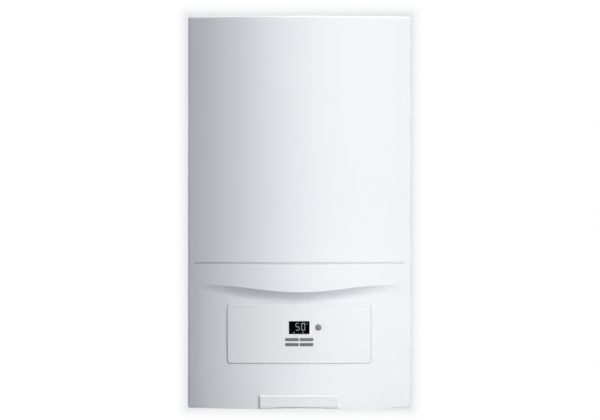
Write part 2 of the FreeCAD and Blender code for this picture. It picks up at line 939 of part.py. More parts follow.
def cable_glands():
    glands = []
    for place in gland_places():
        flange = rod("z", place, ("floor_under - gland_flange_height", "floor_under"), "gland_flange")
        barrel = rod("z", place, ("floor_under", "floor_top + gland_nut_height"), "gland_radius")
        nut = rod("z", place, ("floor_top", "floor_top + gland_nut_height"), "gland_flange")
        span = ("floor_under - gland_flange_height", "floor_top + gland_nut_height")
        glands.append(cut(fuse(flange, barrel, nut), rod("z", place, past(span), "gland_bore")))
    subpart("cable_glands", group(*glands))


def module_rail():
    outer = block(both("inner_half"), ("rail_back", "rail_front"), ("rail_under", "rail_top"))
    inner_f = ("rail_back + rail_sheet", "rail_front - rail_sheet")
    inner = block(past(both("inner_half")), inner_f, ("rail_under - overrun", "rail_top - rail_sheet"))
    subpart("module_rail", cut(outer, inner))


def front_seal():
    span_f = ("chassis_front", "chassis_front + seal_depth")
    outer_z = ("floor_under + seal_inset", "tongue_under - seal_inset")
    outer = block(both("inner_half - seal_inset"), span_f, outer_z)
    inner_z = ("floor_under + seal_inset + seal_width", "tongue_under - seal_inset - seal_width")
    inner = block(both("inner_half - seal_inset - seal_width"), past(span_f), inner_z)
    subpart("front_seal", cut(outer, inner))


def flue():
    place = ("0", "flue_depth")
    plate_z = ("top", "top + flue_flange_sheet")
    plate = block(both("flue_flange / 2"), about("flue_depth", "flue_flange"), plate_z)
    span = ("socket_end", "top + flue_flange_sheet + collar_rise")
    plate = cut(plate, rod("z", place, past(plate_z), "air_radius - air_wall / 2"))
    collar = tube("z", place, span, "air_radius", "air_radius - air_wall")
    socket = tube("z", place, span, "flue_outer", "flue_bore")
    web_z = ("socket_end", "top - sheet")
    mid = "(flue_bore + flue_outer) / 2"
    edge = "air_radius - air_wall / 2"
    webs = [
        block((mid, edge), about("flue_depth", "flue_web"), web_z),
        block((minus(edge), minus(mid)), about("flue_depth", "flue_web"), web_z),
        block(about("0", "flue_web"), (f"flue_depth + {mid}", f"flue_depth + {edge}"), web_z),
        block(about("0", "flue_web"), (f"flue_depth - {edge}", f"flue_depth - {mid}"), web_z),
    ]
    subpart("flue_adaptor", fuse(plate, collar, socket, *webs))
    subpart("flue_pipe", tube("z", place, ("flue_start", "socket_end"), "flue_outer", "flue_inner"))


def expansion_vessel():
    z = ("vessel_under", "vessel_under + vessel_height")
    can = block(both("vessel_width / 2"), ("back_front", "vessel_front"), z)
    back = lying_on(Vector(0, 1, 0), minus("back_front"))
    can = rounded(can, "vessel_round", lambda edge: not back(edge))
    rim_z = (f"{z[0]} - vessel_rim", f"{z[1]} + vessel_rim")
    rim_f = about("vessel_mid", "vessel_rim_thickness")
    rim = block(both("vessel_width / 2 + vessel_rim"), rim_f, rim_z)
    rim = rounded(rim, "vessel_round + vessel_rim", along(Vector(0, 1, 0)))
    inner_z = (f"{z[0]} + vessel_wall", f"{z[1]} - vessel_wall")
    inner_f = ("back_front + vessel_wall", "vessel_front - vessel_wall")
    inside = block(both("vessel_width / 2 - vessel_wall"), inner_f, inner_z)
    inside = rounded(inside, "vessel_round - vessel_wall", lambda edge: True)
    port_place = ("0", "vessel_under + vessel_height / 2")
    port = rod("f", port_place, ("vessel_mid", "vessel_front + overrun"), "vessel_port")
    subpart("expansion_vessel", cut(fuse(can, rim), inside, port))


def heat_exchanger():
    axis = ("hx_x", "hx_axis")
    drum = rod("f", axis, ("hx_back", "fan_back"), "hx_radius")
    foot_f = ("rail_back + hx_foot_inset", "rail_front - hx_foot_inset")
    feet = [
        block(about(f"hx_x + {side}", "hx_foot_width"), foot_f, ("rail_top", "hx_axis - hx_radius / 2"))
        for side in both("hx_foot_spacing / 2")
    ]
    bosses = [
        rod("z", (x, "pipe_row"), ("boss_end", "hx_axis - hx_radius / 2"), "water_boss_radius")
        for x in ("flow_x", "return_x")
    ]
    drain = rod("z", ("drain_x", "drain_f"), ("boss_end", "hx_axis - hx_radius / 2"), "drain_boss_radius")
    socket = rod("z", ("0", "flue_depth"), ("hx_axis", "flue_start"), "flue_bore + flue_socket_wall")
    cavity = rod("f", axis, ("coil_back", "fan_back + overrun"), "hx_bore")
    smoke = rod("z", ("0", "flue_depth"), ("hx_axis", "flue_start + overrun"), "flue_inner")
    depth = ("fan_back - door_bolt_grip", "fan_back + overrun")
    places = ring_places(DOOR_BOLTS, "hx_x", "hx_axis", "door_bolt_circle")
    holes = [rod("f", place, depth, "door_bolt_radius + running_gap") for place in places]
    housing = cut(fuse(drum, *feet, *bosses, drain, socket), cavity, smoke, *holes)
    subpart("heat_exchanger_housing", housing)

    winding = tube("f", axis, ("coil_back", "coil_front"), "hx_bore - coil_room", "coil_bore")
    grooves = []
    turns = int(value("(coil_front - coil_back) / coil_pitch"))
    for n in range(1, turns + 1):
        span = about(f"coil_back + {n} * coil_pitch - coil_pitch / 2", "coil_groove")
        grooves.append(tube("f", axis, span, "hx_bore", "hx_bore - coil_room - coil_groove"))
    subpart("heat_exchanger_coil", cut(winding, *grooves))


def burner():
    axis = ("hx_x", "hx_axis")
    span = ("coil_back + burner_back_gap", "fan_back")
    tube_wall = rod("f", axis, span, "burner_radius")
    flange_f = ("fan_back - burner_flange_sheet", "fan_back")
    flange = rod("f", axis, flange_f, "burner_radius + burner_flange")
    hollow_f = (f"{span[0]} + burner_wall", "fan_back + overrun")
    hollow = rod("f", axis, hollow_f, "burner_radius - burner_wall")
    subpart("burner", cut(fuse(tube_wall, flange), hollow))


def electrode_places():
    for side in both("electrode_offset"):
        yield f"hx_x + {side}", "electrode_z"


def burner_door():
    disc = rod("f", ("hx_x", "hx_axis"), ("fan_back", "door_front"), "hx_radius - door_inset")
    arm_x = ("hx_x - arm_start", "fan_left")
    arm = block(arm_x, ("fan_back", "fan_front"), about("arm_mid", "arm_height"))
    front = lying_on(Vector(0, 1, 0), minus("fan_front"))
    left = lying_on(Vector(1, 0, 0), "hx_x - arm_start")
    arm = rounded(arm, "arm_round", lambda edge: front(edge) or left(edge))
    free = block(past(arm_x), ("fan_back - overrun", "door_front"), about("arm_mid", "arm_height + overrun"))
    arm = cut(arm, free)
    depth = past(("fan_back", "door_front"))
    bolts = ring_places(DOOR_BOLTS, "hx_x", "hx_axis", "door_bolt_circle")
    holes = [rod("f", place, depth, "door_bolt_radius + running_gap") for place in bolts]
    holes += [rod("f", place, depth, "electrode_radius + running_gap") for place in electrode_places()]
    subpart("burner_door", cut(fuse(disc, arm), *holes))


def door_bolts():
    bolts = []
    for place in ring_places(DOOR_BOLTS, "hx_x", "hx_axis", "door_bolt_circle"):
        head = rod("f", place, ("door_front", "door_front + door_bolt_rise"), "door_bolt_head")
        shank = rod("f", place, ("fan_back - door_bolt_grip", "door_front"), "door_bolt_radius")
        bolts.append(fuse(head, shank))
    subpart("door_bolts", group(*bolts))


def ignition():
    pieces = []
    for place in electrode_places():
        insulator_f = ("fan_back - electrode_insulator", "electrode_end")
        tip_f = ("fan_back - electrode_insulator - electrode_tip", "fan_back")
        insulator = rod("f", place, insulator_f, "electrode_radius")
        pieces.append(fuse(insulator, rod("f", place, tip_f, "electrode_wire")))
    subpart("ignition_electrodes", group(*pieces))

    x = (minus("inner_half"), "transformer_width - inner_half")
    f = ("transformer_front - transformer_depth", "transformer_front")
    z = ("transformer_under", "transformer_under + transformer_height")
    subpart("ignition_transformer", rounded(block(x, f, z), "lead_radius", along(Vector(0, 0, 1))))

    start_x = "transformer_width / 2 - inner_half"
    start_z = "transformer_under + transformer_height / 2"
    end_x = "hx_x - electrode_offset"
    end_f = "electrode_end + lead_rise"
    places = [
        (start_x, "transformer_front", start_z),
        (start_x, f"({end_f} + transformer_front) / 2", start_z),
        (f"({start_x} + {end_x}) / 2", end_f, f"({start_z} + electrode_z) / 2"),
        (end_x, f"{end_f} + lead_rise / 2", "electrode_z"),
        (end_x, "electrode_end", "electrode_z"),
    ]
    subpart("ignition_lead", pipe("Lead", places, "lead_bend", "lead_radius"))


def fan():
    axis = ("fan_x", "fan_axis")
    span = ("fan_back", "fan_front")
    outlet_z = about("arm_mid", "arm_height")
    outlet = block(("fan_left", "fan_x"), span, outlet_z)
    inner_f = ("fan_back + fan_wall", "fan_front - fan_wall")
    inner_z = about("arm_mid", "arm_height - fan_wall - fan_wall")
    hollow = rod("f", axis, inner_f, "fan_radius - fan_wall")
    throat = block(("fan_left - overrun", "fan_x"), inner_f, inner_z)
    inlet = rod("f", axis, ("fan_back - overrun", "fan_back + fan_wall + overrun"), "fan_inlet")
    shaft = rod("f", axis, ("impeller_front", "fan_front + overrun"), "fan_shaft + running_gap")
    drum = rod("f", axis, span, "fan_radius")
    subpart("fan_housing", cut(fuse(drum, outlet), hollow, throat, inlet, shaft))

    motor = rod("f", axis, ("fan_front", "motor_front"), "fan_motor_radius")
    motor = rounded(motor, "fan_motor_round", lying_on(Vector(0, 1, 0), minus("motor_front")))
    grip = ("fan_front - overrun", "fan_front + fan_shaft_grip + fit_gap")
    subpart("fan_motor", cut(motor, rod("f", axis, grip, "fan_shaft + running_gap")))

    wheel = body("FanImpeller")
    disc = sketch_on(wheel, "XZ_Plane", "impeller_front - impeller_sheet")
    pad(wheel, draw_circle(disc, ("0", "0"), "impeller_radius"), "impeller_sheet")
    hub = sketch_on(wheel, "XZ_Plane", "impeller_back + impeller_room")
    hub_length = "impeller_front - impeller_back - impeller_room"
    pad(wheel, draw_circle(hub, ("0", "0"), "hub_radius"), hub_length)
    spindle = sketch_on(wheel, "XZ_Plane", "impeller_front")
    spindle_length = "fan_front + fan_shaft_grip - impeller_front"
    pad(wheel, draw_circle(spindle, ("0", "0"), "fan_shaft"), spindle_length)
    blade = sketch_on(wheel, "XZ_Plane", "impeller_back")
    blade_reach = ("impeller_radius - blade_length", "impeller_radius - fit_gap")
    outline = rectangle(blade_reach, both("blade_thickness / 2"))
    first = pad(wheel, draw_outline(blade, outline), "impeller_front - impeller_back")
    polar(wheel, first, FAN_BLADES)
    bind(wheel, Placement__Base__x="fan_x", Placement__Base__z="fan_axis")
    subpart("fan_impeller", wheel)


def venturi():
    axis = ("fan_x", "fan_axis")
    barrel = rod("f", axis, ("venturi_back", "fan_back"), "venturi_radius")
    boss = rod("z", ("fan_x", "venturi_mid"), ("fan_axis - venturi_boss_drop", "fan_axis"), "venturi_boss")
    bore = rod("f", axis, past(("venturi_back", "fan_back")), "fan_inlet")
    subpart("venturi", cut(fuse(barrel, boss), bore))

    places = [
        ("fan_x", "venturi_back", "fan_axis"),
        ("fan_x", "venturi_back - air_pipe_run", "fan_axis"),
        ("fan_x", "venturi_back - air_pipe_run", "fan_axis + air_pipe_rise"),
    ]
    air = pipe("AirPipe", places, "air_pipe_bend", "air_pipe_radius", "air_pipe_radius - air_pipe_wall")
    subpart("air_intake_pipe", air)


def gas_train():
    x = about("fan_x", "valve_width")
    valve = block(x, ("valve_back", "valve_front"), ("rail_top", "valve_top"))
    outlet_z = ("valve_top", "fan_axis - venturi_boss_drop")
    outlet = rod("z", ("fan_x", "venturi_mid"), outlet_z, "valve_outlet")
    cap_z = "(rail_top + valve_top) / 2"
    cap_f = ("valve_front", "valve_front + coil_cap_rise")
    caps = [rod("f", (x, cap_z), cap_f, "coil_cap_radius") for x in about("fan_x", "coil_cap_spacing")]
    subpart("gas_valve", fuse(valve, outlet, *caps))
    places = [
        ("0", "pipe_row", "pipe_end"),
        ("0", "pipe_row", "base + gas_turn_level"),
        ("0", "gas_depth", "base + gas_slope_level"),
        ("0", "gas_depth", "base + gas_run_level"),
        ("fan_x", "gas_depth", "base + gas_run_level"),
        ("fan_x", "gas_depth", "rail_top"),
    ]
    subpart("gas_pipe", pipe("GasPipe", places, "gas_bend", "gas_radius", "gas_radius - gas_wall"))


def pump():
    axis = ("pump_x", "pump_axis")
    drum = rod("f", axis, ("pump_back", "pump_front"), "pump_radius")
    boss = rod("z", ("pump_x", "pipe_row"), ("pump_under", "pump_over"), "pump_boss_radius")
    arm_z = ("pump_over - pump_arm_height", "pump_over")
    arm = block(("stack_right", "pump_x"), about("pipe_row", "pump_arm_depth"), arm_z)
    cavity = rod("f", axis, ("pump_back + pump_wall", "pump_front - pump_wall"), "pump_cavity")
    eye = rod("f", axis, ("pipe_row", "pump_front + overrun"), "pump_shaft + running_gap")
    subpart("pump_body", cut(fuse(drum, boss, arm), cavity, eye))

    motor = rod("f", axis, ("pump_front", "pump_motor_front"), "pump_motor_radius")
    motor = rounded(motor, "pump_motor_round", lying_on(Vector(0, 1, 0), minus("pump_motor_front")))
    grip = ("pump_front - overrun", "pump_front + pump_shaft_grip + fit_gap")
    subpart("pump_motor", cut(motor, rod("f", axis, grip, "pump_shaft + running_gap")))

    wheel = body("PumpImpeller")
    disc = sketch_on(wheel, "XZ_Plane", "wheel_front - pump_shroud")
    pad(wheel, draw_circle(disc, ("0", "0"), "pump_wheel"), "pump_shroud")
    spindle = sketch_on(wheel, "XZ_Plane", "wheel_front")
    spindle_length = "pump_front + pump_shaft_grip - wheel_front"
    pad(wheel, draw_circle(spindle, ("0", "0"), "pump_shaft"), spindle_length)
    vane = sketch_on(wheel, "XZ_Plane", "wheel_back")
    outline = rectangle(("pump_vane", "pump_wheel - fit_gap"), both("pump_vane_thickness / 2"))
    first = pad(wheel, draw_outline(vane, outline), "wheel_front - wheel_back")
    polar(wheel, first, PUMP_VANES)
    bind(wheel, Placement__Base__x="pump_x", Placement__Base__z="pump_axis")
    subpart("pump_impeller", wheel)


def water_pipes():
    def straight(label, x, low, high, size):
        radius, wall = f"{size}_radius", f"{size}_wall"
        subpart(label, tube("z", (x, "pipe_row"), (low, high), radius, f"{radius} - {wall}"))

    straight("heating_flow_stub", "flow_x", "pipe_end", "diverter_under", "heating")
    straight("heating_return_stub", "pump_x", "pipe_end", "pump_under", "heating")
    straight("hot_water_pipe", "0 - water_spacing / 2", "pipe_end", "stack_under", "water")
    straight("cold_water_pipe", "water_spacing / 2", "pipe_end", "stack_under", "water")
    straight("flow_pipe", "flow_x", "diverter_top", "boss_end", "heating")
    places = [
        ("pump_x", "pipe_row", "pump_over"),
        ("pump_x", "pipe_row", "base + return_turn_level"),
        ("return_x", "pipe_row", "rail_top"),
        ("return_x", "pipe_row", "boss_end"),
    ]
    bore = "heating_radius - heating_wall"
    subpart("return_pipe", pipe("ReturnPipe", places, "heating_bend", "heating_radius", bore))


def diverter():
    x = ("diverter_left", "diverter_right")
    z = ("diverter_under", "diverter_top")
    valve = block(x, ("pump_back", "pump_front"), z)
    subpart("diverter_valve", rounded(valve, "actuator_round", along(Vector(0, 0, 1))))
    motor = rod("f", ("flow_x", "diverter_mid"), ("pump_front", "actuator_front"), "actuator_radius")
    front = lying_on(Vector(0, 1, 0), minus("actuator_front"))
    subpart("diverter_actuator", rounded(motor, "actuator_round", front))


def plate_heat_exchanger():
    x = ("diverter_right", "stack_right")
    z = ("stack_under", "stack_top")
    stack = block(x, ("stack_back", "stack_front"), z)
    grooves = []
    count = int(value("plate_stack_depth / plate_pitch")) - 1
    for n in range(1, count + 1):
        span = about(f"stack_back + {n} * plate_pitch", "plate_groove")
        inner = block(
            (f"{x[0]} + plate_groove", f"{x[1]} - plate_groove"),
            past(span),
            (f"{z[0]} + plate_groove", f"{z[1]} - plate_groove"),
        )
        grooves.append(cut(block(past(x), span, past(z)), inner))
    subpart("plate_heat_exchanger", cut(stack, *grooves))


def relief_valve():
    place = ("relief_x", "pipe_row")
    branch = rod("x", ("pipe_row", "relief_z"), ("relief_x", "diverter_left"), "relief_radius - running_gap")
    barrel = rod("z", place, ("relief_under", "relief_top"), "relief_radius")
    outlet = rod("z", place, ("pipe_end", "relief_under"), "water_radius")
    bore = rod("z", place, ("pipe_end - overrun", "relief_z"), "water_radius - water_wall")
    grip = ("relief_top - relief_stem_grip - fit_gap", "relief_top + overrun")
    socket = rod("z", place, grip, "relief_stem + running_gap")
    subpart("relief_valve", cut(fuse(branch, barrel, outlet), bore, socket))
    cap_z = ("relief_top + fit_gap", "relief_top + fit_gap + relief_knob_height")
    cap = rod("z", place, cap_z, "relief_knob_radius")
    stem = rod("z", place, ("relief_top - relief_stem_grip", "relief_top + overrun"), "relief_stem")
    subpart("relief_knob", fuse(cap, stem))


def condensate():
    place = ("trap_x", "trap_depth")
    cup = rod("z", place, ("floor_top", "trap_top"), "trap_radius")
    cap = rod("z", place, ("trap_top - trap_cap_height", "trap_top"), "trap_radius + trap_cap")
    neck = rod("z", place, ("trap_top", "trap_neck_top"), "hose_radius")
    outlet = rod("z", place, ("pipe_end", "floor_top"), "trap_outlet")
    bore = rod("z", place, ("pipe_end - overrun", "floor_top"), "trap_outlet - trap_outlet_wall")
    subpart("condensate_trap", cut(fuse(cup, cap, neck, outlet), bore))
    middle_x = "(drain_x + trap_x) / 2"
    places = [
        ("drain_x", "drain_f", "boss_end"),
        ("drain_x", "drain_f", "base + hose_turn_level"),
        (middle_x, "drain_f", "base + hose_slope_level"),
        ("trap_x", "trap_depth", "base + hose_drop_level"),
        ("trap_x", "trap_depth", "trap_neck_top"),
    ]
    hose = pipe("Hose", places, "hose_bend", "hose_radius", "hose_radius - hose_wall")
    subpart("condensate_hose", hose)


def electronics_box():
    x = both("ebox_half")
    f = ("ebox_back", "ebox_front")
    z = ("ebox_bottom", "ebox_top")
    tray = block(x, f, z)
    inner_x = both("ebox_half - ebox_wall")
    inner_z = ("ebox_bottom + ebox_wall", "ebox_top - ebox_wall")
    inside = block(inner_x, ("ebox_back - overrun", "ebox_front - ebox_wall"), inner_z)
    shell = cut(tray, inside)
    inset = "(board_margin + board_post_inset)"
    posts = [
        rod("f", (px, pz), ("board_front", "ebox_front - ebox_wall"), "board_post")
        for px in both(f"ebox_half - {inset}")
        for pz in (f"ebox_bottom + {inset}", f"ebox_top - {inset}")
    ]
    posts += [
        rod("f", (px, pz), ("ebox_front", "module_back"), "module_post")
        for px in both("module_board_width / 2 - module_post_inset")
        for pz in about("module_z", "module_board_height - module_post_inset - module_post_inset")
    ]
    ear_z = ("hinge_z - hinge_reach", "ebox_bottom")
    ear_x = ("hinge_in - hinge_ear - fit_gap", "hinge_in - fit_gap")
    ear = block(ear_x, about("hinge_f", "hinge_reach + hinge_reach"), ear_z)
    ear = rounded(ear, "hinge_reach / 2", ear_corner)
    hole = rod("x", ("hinge_f", "hinge_z"), past(ear_x), "hinge_pin_radius + running_gap")
    ear = cut(ear, hole)
    subpart("electronics_box", fuse(shell, *posts, ear, mirrored(ear)))
    cover = block(x, ("ebox_back - ebox_cover", "ebox_back"), z)
    subpart("electronics_cover", rounded(cover, "ebox_wall", along(Vector(0, 1, 0))))

    board_x = both("ebox_half - board_margin")
    board_z = ("ebox_bottom + board_margin", "ebox_top - board_margin")
    board = block(board_x, ("board_back", "board_front"), board_z)
    parts_f = ("board_back - board_part_height", "board_back")
    third = "(ebox_half - board_margin) / 3"
    middle = "(ebox_bottom + ebox_top) / 2"
    parts = [
        block(about(x, third), parts_f, about(middle, third))
        for x in ("0", third + " * 2", minus(third + " * 2"))
    ]
    subpart("control_board", fuse(board, *parts))


def ear_corner(edge):
    """The two lower edges of a hinge ear, along the pin."""
    low = lying_on(Vector(0, 0, 1), "hinge_z - hinge_reach")
    return low(edge) and along(Vector(1, 0, 0))(edge)


def hinge():
    owner = body("HingeBracket")
    front = "hinge_f + hinge_reach"
    under = "hinge_foot_under"
    corners = [
        ("flange_back - hinge_foot", "floor_under"),
        ("flange_back - hinge_foot", under),
        (front, under),
        (front, "hinge_z"),
        ("hinge_f + hinge_reach / 2", "hinge_z + hinge_reach"),
        ("hinge_f - hinge_reach / 2", "hinge_z + hinge_reach"),
        ("chassis_front + hinge_front_gap", "floor_under"),
    ]
    outline = [(minus(f), z) for f, z in corners]
    plate = sketch_on(owner, "YZ_Plane", "hinge_in")
    pad(owner, draw_outline(plate, outline), "hinge_sheet")
    hole = sketch_on(owner, "YZ_Plane", "hinge_in")
    pocket(owner, draw_circle(hole, (minus("hinge_f"), "hinge_z"), "hinge_pin_radius"))
    subpart("hinge_brackets", group(owner, mirrored(owner)))
    span = ("hinge_in - hinge_ear - fit_gap", "hinge_out")
    pin = rod("x", ("hinge_f", "hinge_z"), span, "hinge_pin_radius")
    subpart("hinge_pins", group(pin, mirrored(pin)))


def bow_at(x):
    """Depth of the casing's bowed face at a distance from the middle."""
    radius = value("bow_radius")
    return value("bow_centre") + math.sqrt(radius * radius - x * x)


def scoop_section(x, back, lift):
    """Outline of the scoop's cutting shape at one station across the casing."""
    half = value("scoop_half")
    fall = 1 - (abs(x) / half) ** 3
    depth = value("scoop_depth") * fall * abs(fall) - value("scoop_shy")
    face = bow_at(x)
    rise = min(abs(x) / value("lip_run"), 1)
    lip = value("base + lip_level") + value("lip_rise") * (1 - math.cos(math.pi * rise)) / 2 + lift
    tip = value("scoop_tip_height")
    height = tip + (value("scoop_height") - tip) * (1 - min(abs(x) / half, 1) ** 4)
    spare = value("overrun")
    low = lip - height
    bottom = value("base") - spare
    inner = face - depth - back
    foot = face - depth * SCOOP_FADE_SHARE - back
    outer = value("casing_depth") + spare
    edge = face - back
    slope = (edge - inner) / (height * (1 - LIP_CURVE_SHARE))
    over = spare / math.hypot(1, slope)
    points = {
        "outer_foot": (outer, bottom),
        "foot": (foot, bottom),
        "low": (inner, low),
        "bend": (inner, low + height * LIP_CURVE_SHARE),
        "over": (edge + slope * over, lip + over),
        "outer_lip": (outer, lip + over + slope * spare),
    }
    at = {name: Vector(x, -f, z) for name, (f, z) in points.items()}
    cove = Part.BezierCurve()
    cove.setPoles([at["low"], at["bend"], at["over"]])
    line = Part.LineSegment
    edges = [
        line(at["outer_foot"], at["foot"]).toShape(),
        line(at["foot"], at["low"]).toShape(),
        cove.toShape(),
        line(at["over"], at["outer_lip"]).toShape(),
        line(at["outer_lip"], at["outer_foot"]).toShape(),
    ]
    return Part.Wire(edges)


def scoop(back="0", lift="0"):
    """The shallow smile-shaped scoop, as a loft across the casing."""
    reach = value("scoop_half + scoop_margin")
    sections = [scoop_section(share * reach, value(back), value(lift)) for share in LIP_STATION_SHARES]
    return feature("Scoop", Part.makeLoft(sections, True))


def groove(radius, grow):
    """A ring with a sloping upper side and a square lower side, about the bow's axis."""
    low = f"groove_mid - groove_height / 2 - {grow}"
    high = f"groove_mid + groove_height / 2 + {grow}"
    inner = f"{radius} - groove_depth"
    outer = f"{radius} + overrun"
    reach = "groove_height * overrun / groove_depth"
    places = [(inner, low), (outer, low), (outer, f"{high} + {reach}"), (inner, f"{high} - groove_height")]
    centre = spot("0", "bow_centre", "0")
    spread = math.degrees(math.asin(value("(half_width - groove_margin) / bow_radius")))
    points = [centre + Vector(0, -value(r), value(z)) for r, z in places]
    face = Part.Face(Part.makePolygon(points + points[:1]))
    face.rotate(centre, Vector(0, 0, 1), -spread)
    return feature("Groove", face.revolve(centre, Vector(0, 0, 1), 2 * spread))


def front_casing():
    outer = bow_block("half_width", "seam", "casing_depth", "bow_radius", "base", "top")
    upright = along(Vector(0, 0, 1))
    ahead = value("seam + side_return / 2")

    def corner(edge):
        return upright(edge) and edge.Vertexes[0].Y < -ahead

    outer = rounded(outer, "casing_edge_round", corner)
    rim = lying_on(Vector(0, 0, 1), "base", "top")
    back = lying_on(Vector(0, 1, 0), minus("seam"))
    outer = rounded(outer, "casing_rim_round", lambda e: rim(e) and not back(e))
    solid = cut(outer, groove("bow_radius", "0"), scoop())

    inner_z = ("base + casing_wall", "top - casing_wall")
    inner = bow_block(
        "half_width - casing_wall",
        "seam - overrun",
        "casing_depth - casing_wall",
        "bow_radius - casing_wall",
        *inner_z,
    )
    inner = rounded(inner, "casing_edge_round - casing_wall", corner)
    lift = f"casing_wall * {INNER_LIP_SHARE}"
    inner = cut(inner, groove("bow_radius - casing_wall", lift), scoop("casing_wall", lift))
    shell = cut(solid, inner)

    notch_x = ("0 - cover_half - cover_slot", "cover_half + cover_gap")
    pocket_x = (f"{notch_x[0]} - casing_wall", f"{notch_x[1]} + casing_wall")
    pocket_z = ("base + casing_wall / 2", "cover_top + cover_gap + casing_wall")
    tray = common(block(pocket_x, ("pocket_back", "casing_depth"), pocket_z), solid)
    tongues = []
    for middle in both("tongue_spacing / 2"):
        span = about(middle, "tongue_width")
        reach = ("chassis_front - tongue_reach", "seam + side_return")
        tongues.append(block(span, reach, ("tongue_under", "tongue_top")))
        tongues.append(block(span, ("seam", "seam + side_return"), ("tongue_under", "top - casing_wall / 2")))
    notch_z = ("base + casing_wall", "cover_top + cover_gap")
    notch = block(notch_x, ("pocket_face", "casing_depth + overrun"), notch_z)
    screw_f = past(("pocket_back", "pocket_face"))
    screw = rod("f", ("0", "cover_mid"), screw_f, "casing_screw_radius + running_gap")
    opening_f = ("ebox_front - overrun", "casing_depth + overrun")
    opening_z = ("fascia_under - fascia_gap", "fascia_top + fascia_gap")
    opening = block(both("fascia_half + fascia_gap"), opening_f, opening_z)
    opening = rounded(opening, "fascia_corner + fascia_gap", along(Vector(0, 1, 0)))
    subpart("front_casing", cut(fuse(shell, tray, *tongues), notch, screw, opening))


def cover_plate():
    face_z = ("cover_under", "cover_top")
    face = block(both("cover_half"), ("cover_back", "cover_front"), face_z)
    front = lying_on(Vector(0, 1, 0), minus("cover_front"))
    face = dressed("Part::Chamfer", face, "cover_bevel", front)
    leg_z = about("cover_mid", "cover_leg_height")
    legs = [
        block(about(x, "cover_leg_width"), ("pocket_face", "cover_back"), leg_z)
        for x in both("cover_leg_spacing / 2")
    ]
    subpart("cover_plate", fuse(face, *legs))
    head_f = ("pocket_face", "pocket_face + casing_screw_rise")
    head = rod("f", ("0", "cover_mid"), head_f, "casing_screw_head")
    shank_f = ("catch_front - catch_foot", "pocket_face")
    shank = rod("f", ("0", "cover_mid"), shank_f, "casing_screw_radius")
    subpart("casing_screw", fuse(head, shank))


def control_fascia():
    z = ("fascia_under", "fascia_top")
    bow = bow_block("fascia_half", "ebox_front", "fascia_face", "fascia_radius", *z)
    corners = along(Vector(0, 1, 0))
    frame = block(both("fascia_half"), ("ebox_front", "casing_depth"), z)
    outer = common(bow, rounded(frame, "fascia_corner", corners))
    back = lying_on(Vector(0, 1, 0), minus("ebox_front"))
    outer = rounded(outer, "fascia_edge", lambda e: not back(e) and not corners(e))
    inner_z = ("fascia_under + fascia_wall", "fascia_top - fascia_wall")
    half = "fascia_half - fascia_wall"
    inner = bow_block(half, "ebox_front - overrun", "fascia_inner", "fascia_radius - fascia_wall", *inner_z)
    depth = ("fascia_inner - fascia_rise", "casing_depth")
    window_x = both("display_width / 2 + fit_gap")
    openings = [block(window_x, depth, about("display_z", "display_height + fit_gap + fit_gap"))]
    for x, level in KEYS.values():
        key_x = about(x, "key_width + fit_gap + fit_gap")
        openings.append(block(key_x, depth, about(f"base + {level}", "key_height + fit_gap + fit_gap")))
    openings.append(rod("f", ("reset_offset", "reset_z"), depth, "reset_radius + fit_gap"))
    subpart("control_fascia", cut(outer, inner, *openings))


def keys():
    for label, (x, level) in KEYS.items():
        z = f"base + {level}"
        cap = block(about(x, "key_width"), ("key_flange_back", "key_face"), about(z, "key_height"))
        front = lying_on(Vector(0, 1, 0), minus("key_face"))
        cap = rounded(cap, "key_round", front)
        flange_x = about(x, "key_width + key_flange + key_flange")
        flange_z = about(z, "key_height + key_flange + key_flange")
        flange = block(flange_x, ("key_flange_back", "key_stop"), flange_z)
        stem = rod("f", (x, z), ("key_end", "key_stop"), "key_stem")
        subpart(label, fuse(cap, flange, stem))
    place = ("reset_offset", "reset_z")
    cap = rod("f", place, ("key_flange_back", "key_face"), "reset_radius")
    cap = rounded(cap, "key_round", lying_on(Vector(0, 1, 0), minus("key_face")))
    flange = rod("f", place, ("key_flange_back", "key_stop"), "reset_radius + key_flange")
    stem = rod("f", place, ("key_end", "key_stop"), "key_stem")
    subpart("reset_button", fuse(cap, flange, stem))


def display():
    glass_f = ("window_back", "fascia_face - window_inset")
    glass = block(both("display_width / 2"), glass_f, about("display_z", "display_height"))
    rim_f = ("window_back", "fascia_inner - fit_gap")
    rim_z = about("display_z", "display_height + window_flange + window_flange")
    rim = block(both("display_width / 2 + window_flange"), rim_f, rim_z)
    subpart("display_window", fuse(glass, rim))
    board_z = about("module_z", "module_board_height")
    board = block(both("module_board_width / 2"), ("module_back", "module_face"), board_z)
    screen_z = about("display_z", "display_height + module_margin + module_margin")
    screen = block(both("display_width / 2 + module_margin"), ("module_face", "window_back"), screen_z)
    subpart("display_module", fuse(board, screen))


def check():
    """Stop if anything in the document failed or is not a sound solid."""
    doc.recompute()
    for item in doc.Objects:
        if "Invalid" in item.State or "Error" in item.State:
            raise ValueError(f"{item.Label} failed: {item.State}")
    for item in subparts:
        if item.Shape.isNull() or not item.Shape.isValid() or not item.Shape.Solids:
            raise ValueError(f"{item.Label} has no sound shape")


def write():
    os.makedirs("parts", exist_ok=True)
    for item in subparts:
        item.Shape.exportStep(f"parts/{item.Label}.step")


wall_bracket()
back_panel()
side_panels()
top_panel()
panel_screws()
bottom_plate()
cable_glands()
module_rail()
front_seal()
flue()
expansion_vessel()
heat_exchanger()
burner()
burner_door()
door_bolts()
ignition()
fan()
venturi()
gas_train()
pump()
water_pipes()
diverter()
plate_heat_exchanger()
relief_valve()
condensate()
electronics_box()
hinge()
front_casing()
cover_plate()
control_fascia()
keys()
display()
check()
write()
print(len(subparts), "pieces written")
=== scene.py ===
"""Wall-hung gas boiler: finishes, small fittings, stage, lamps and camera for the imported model."""

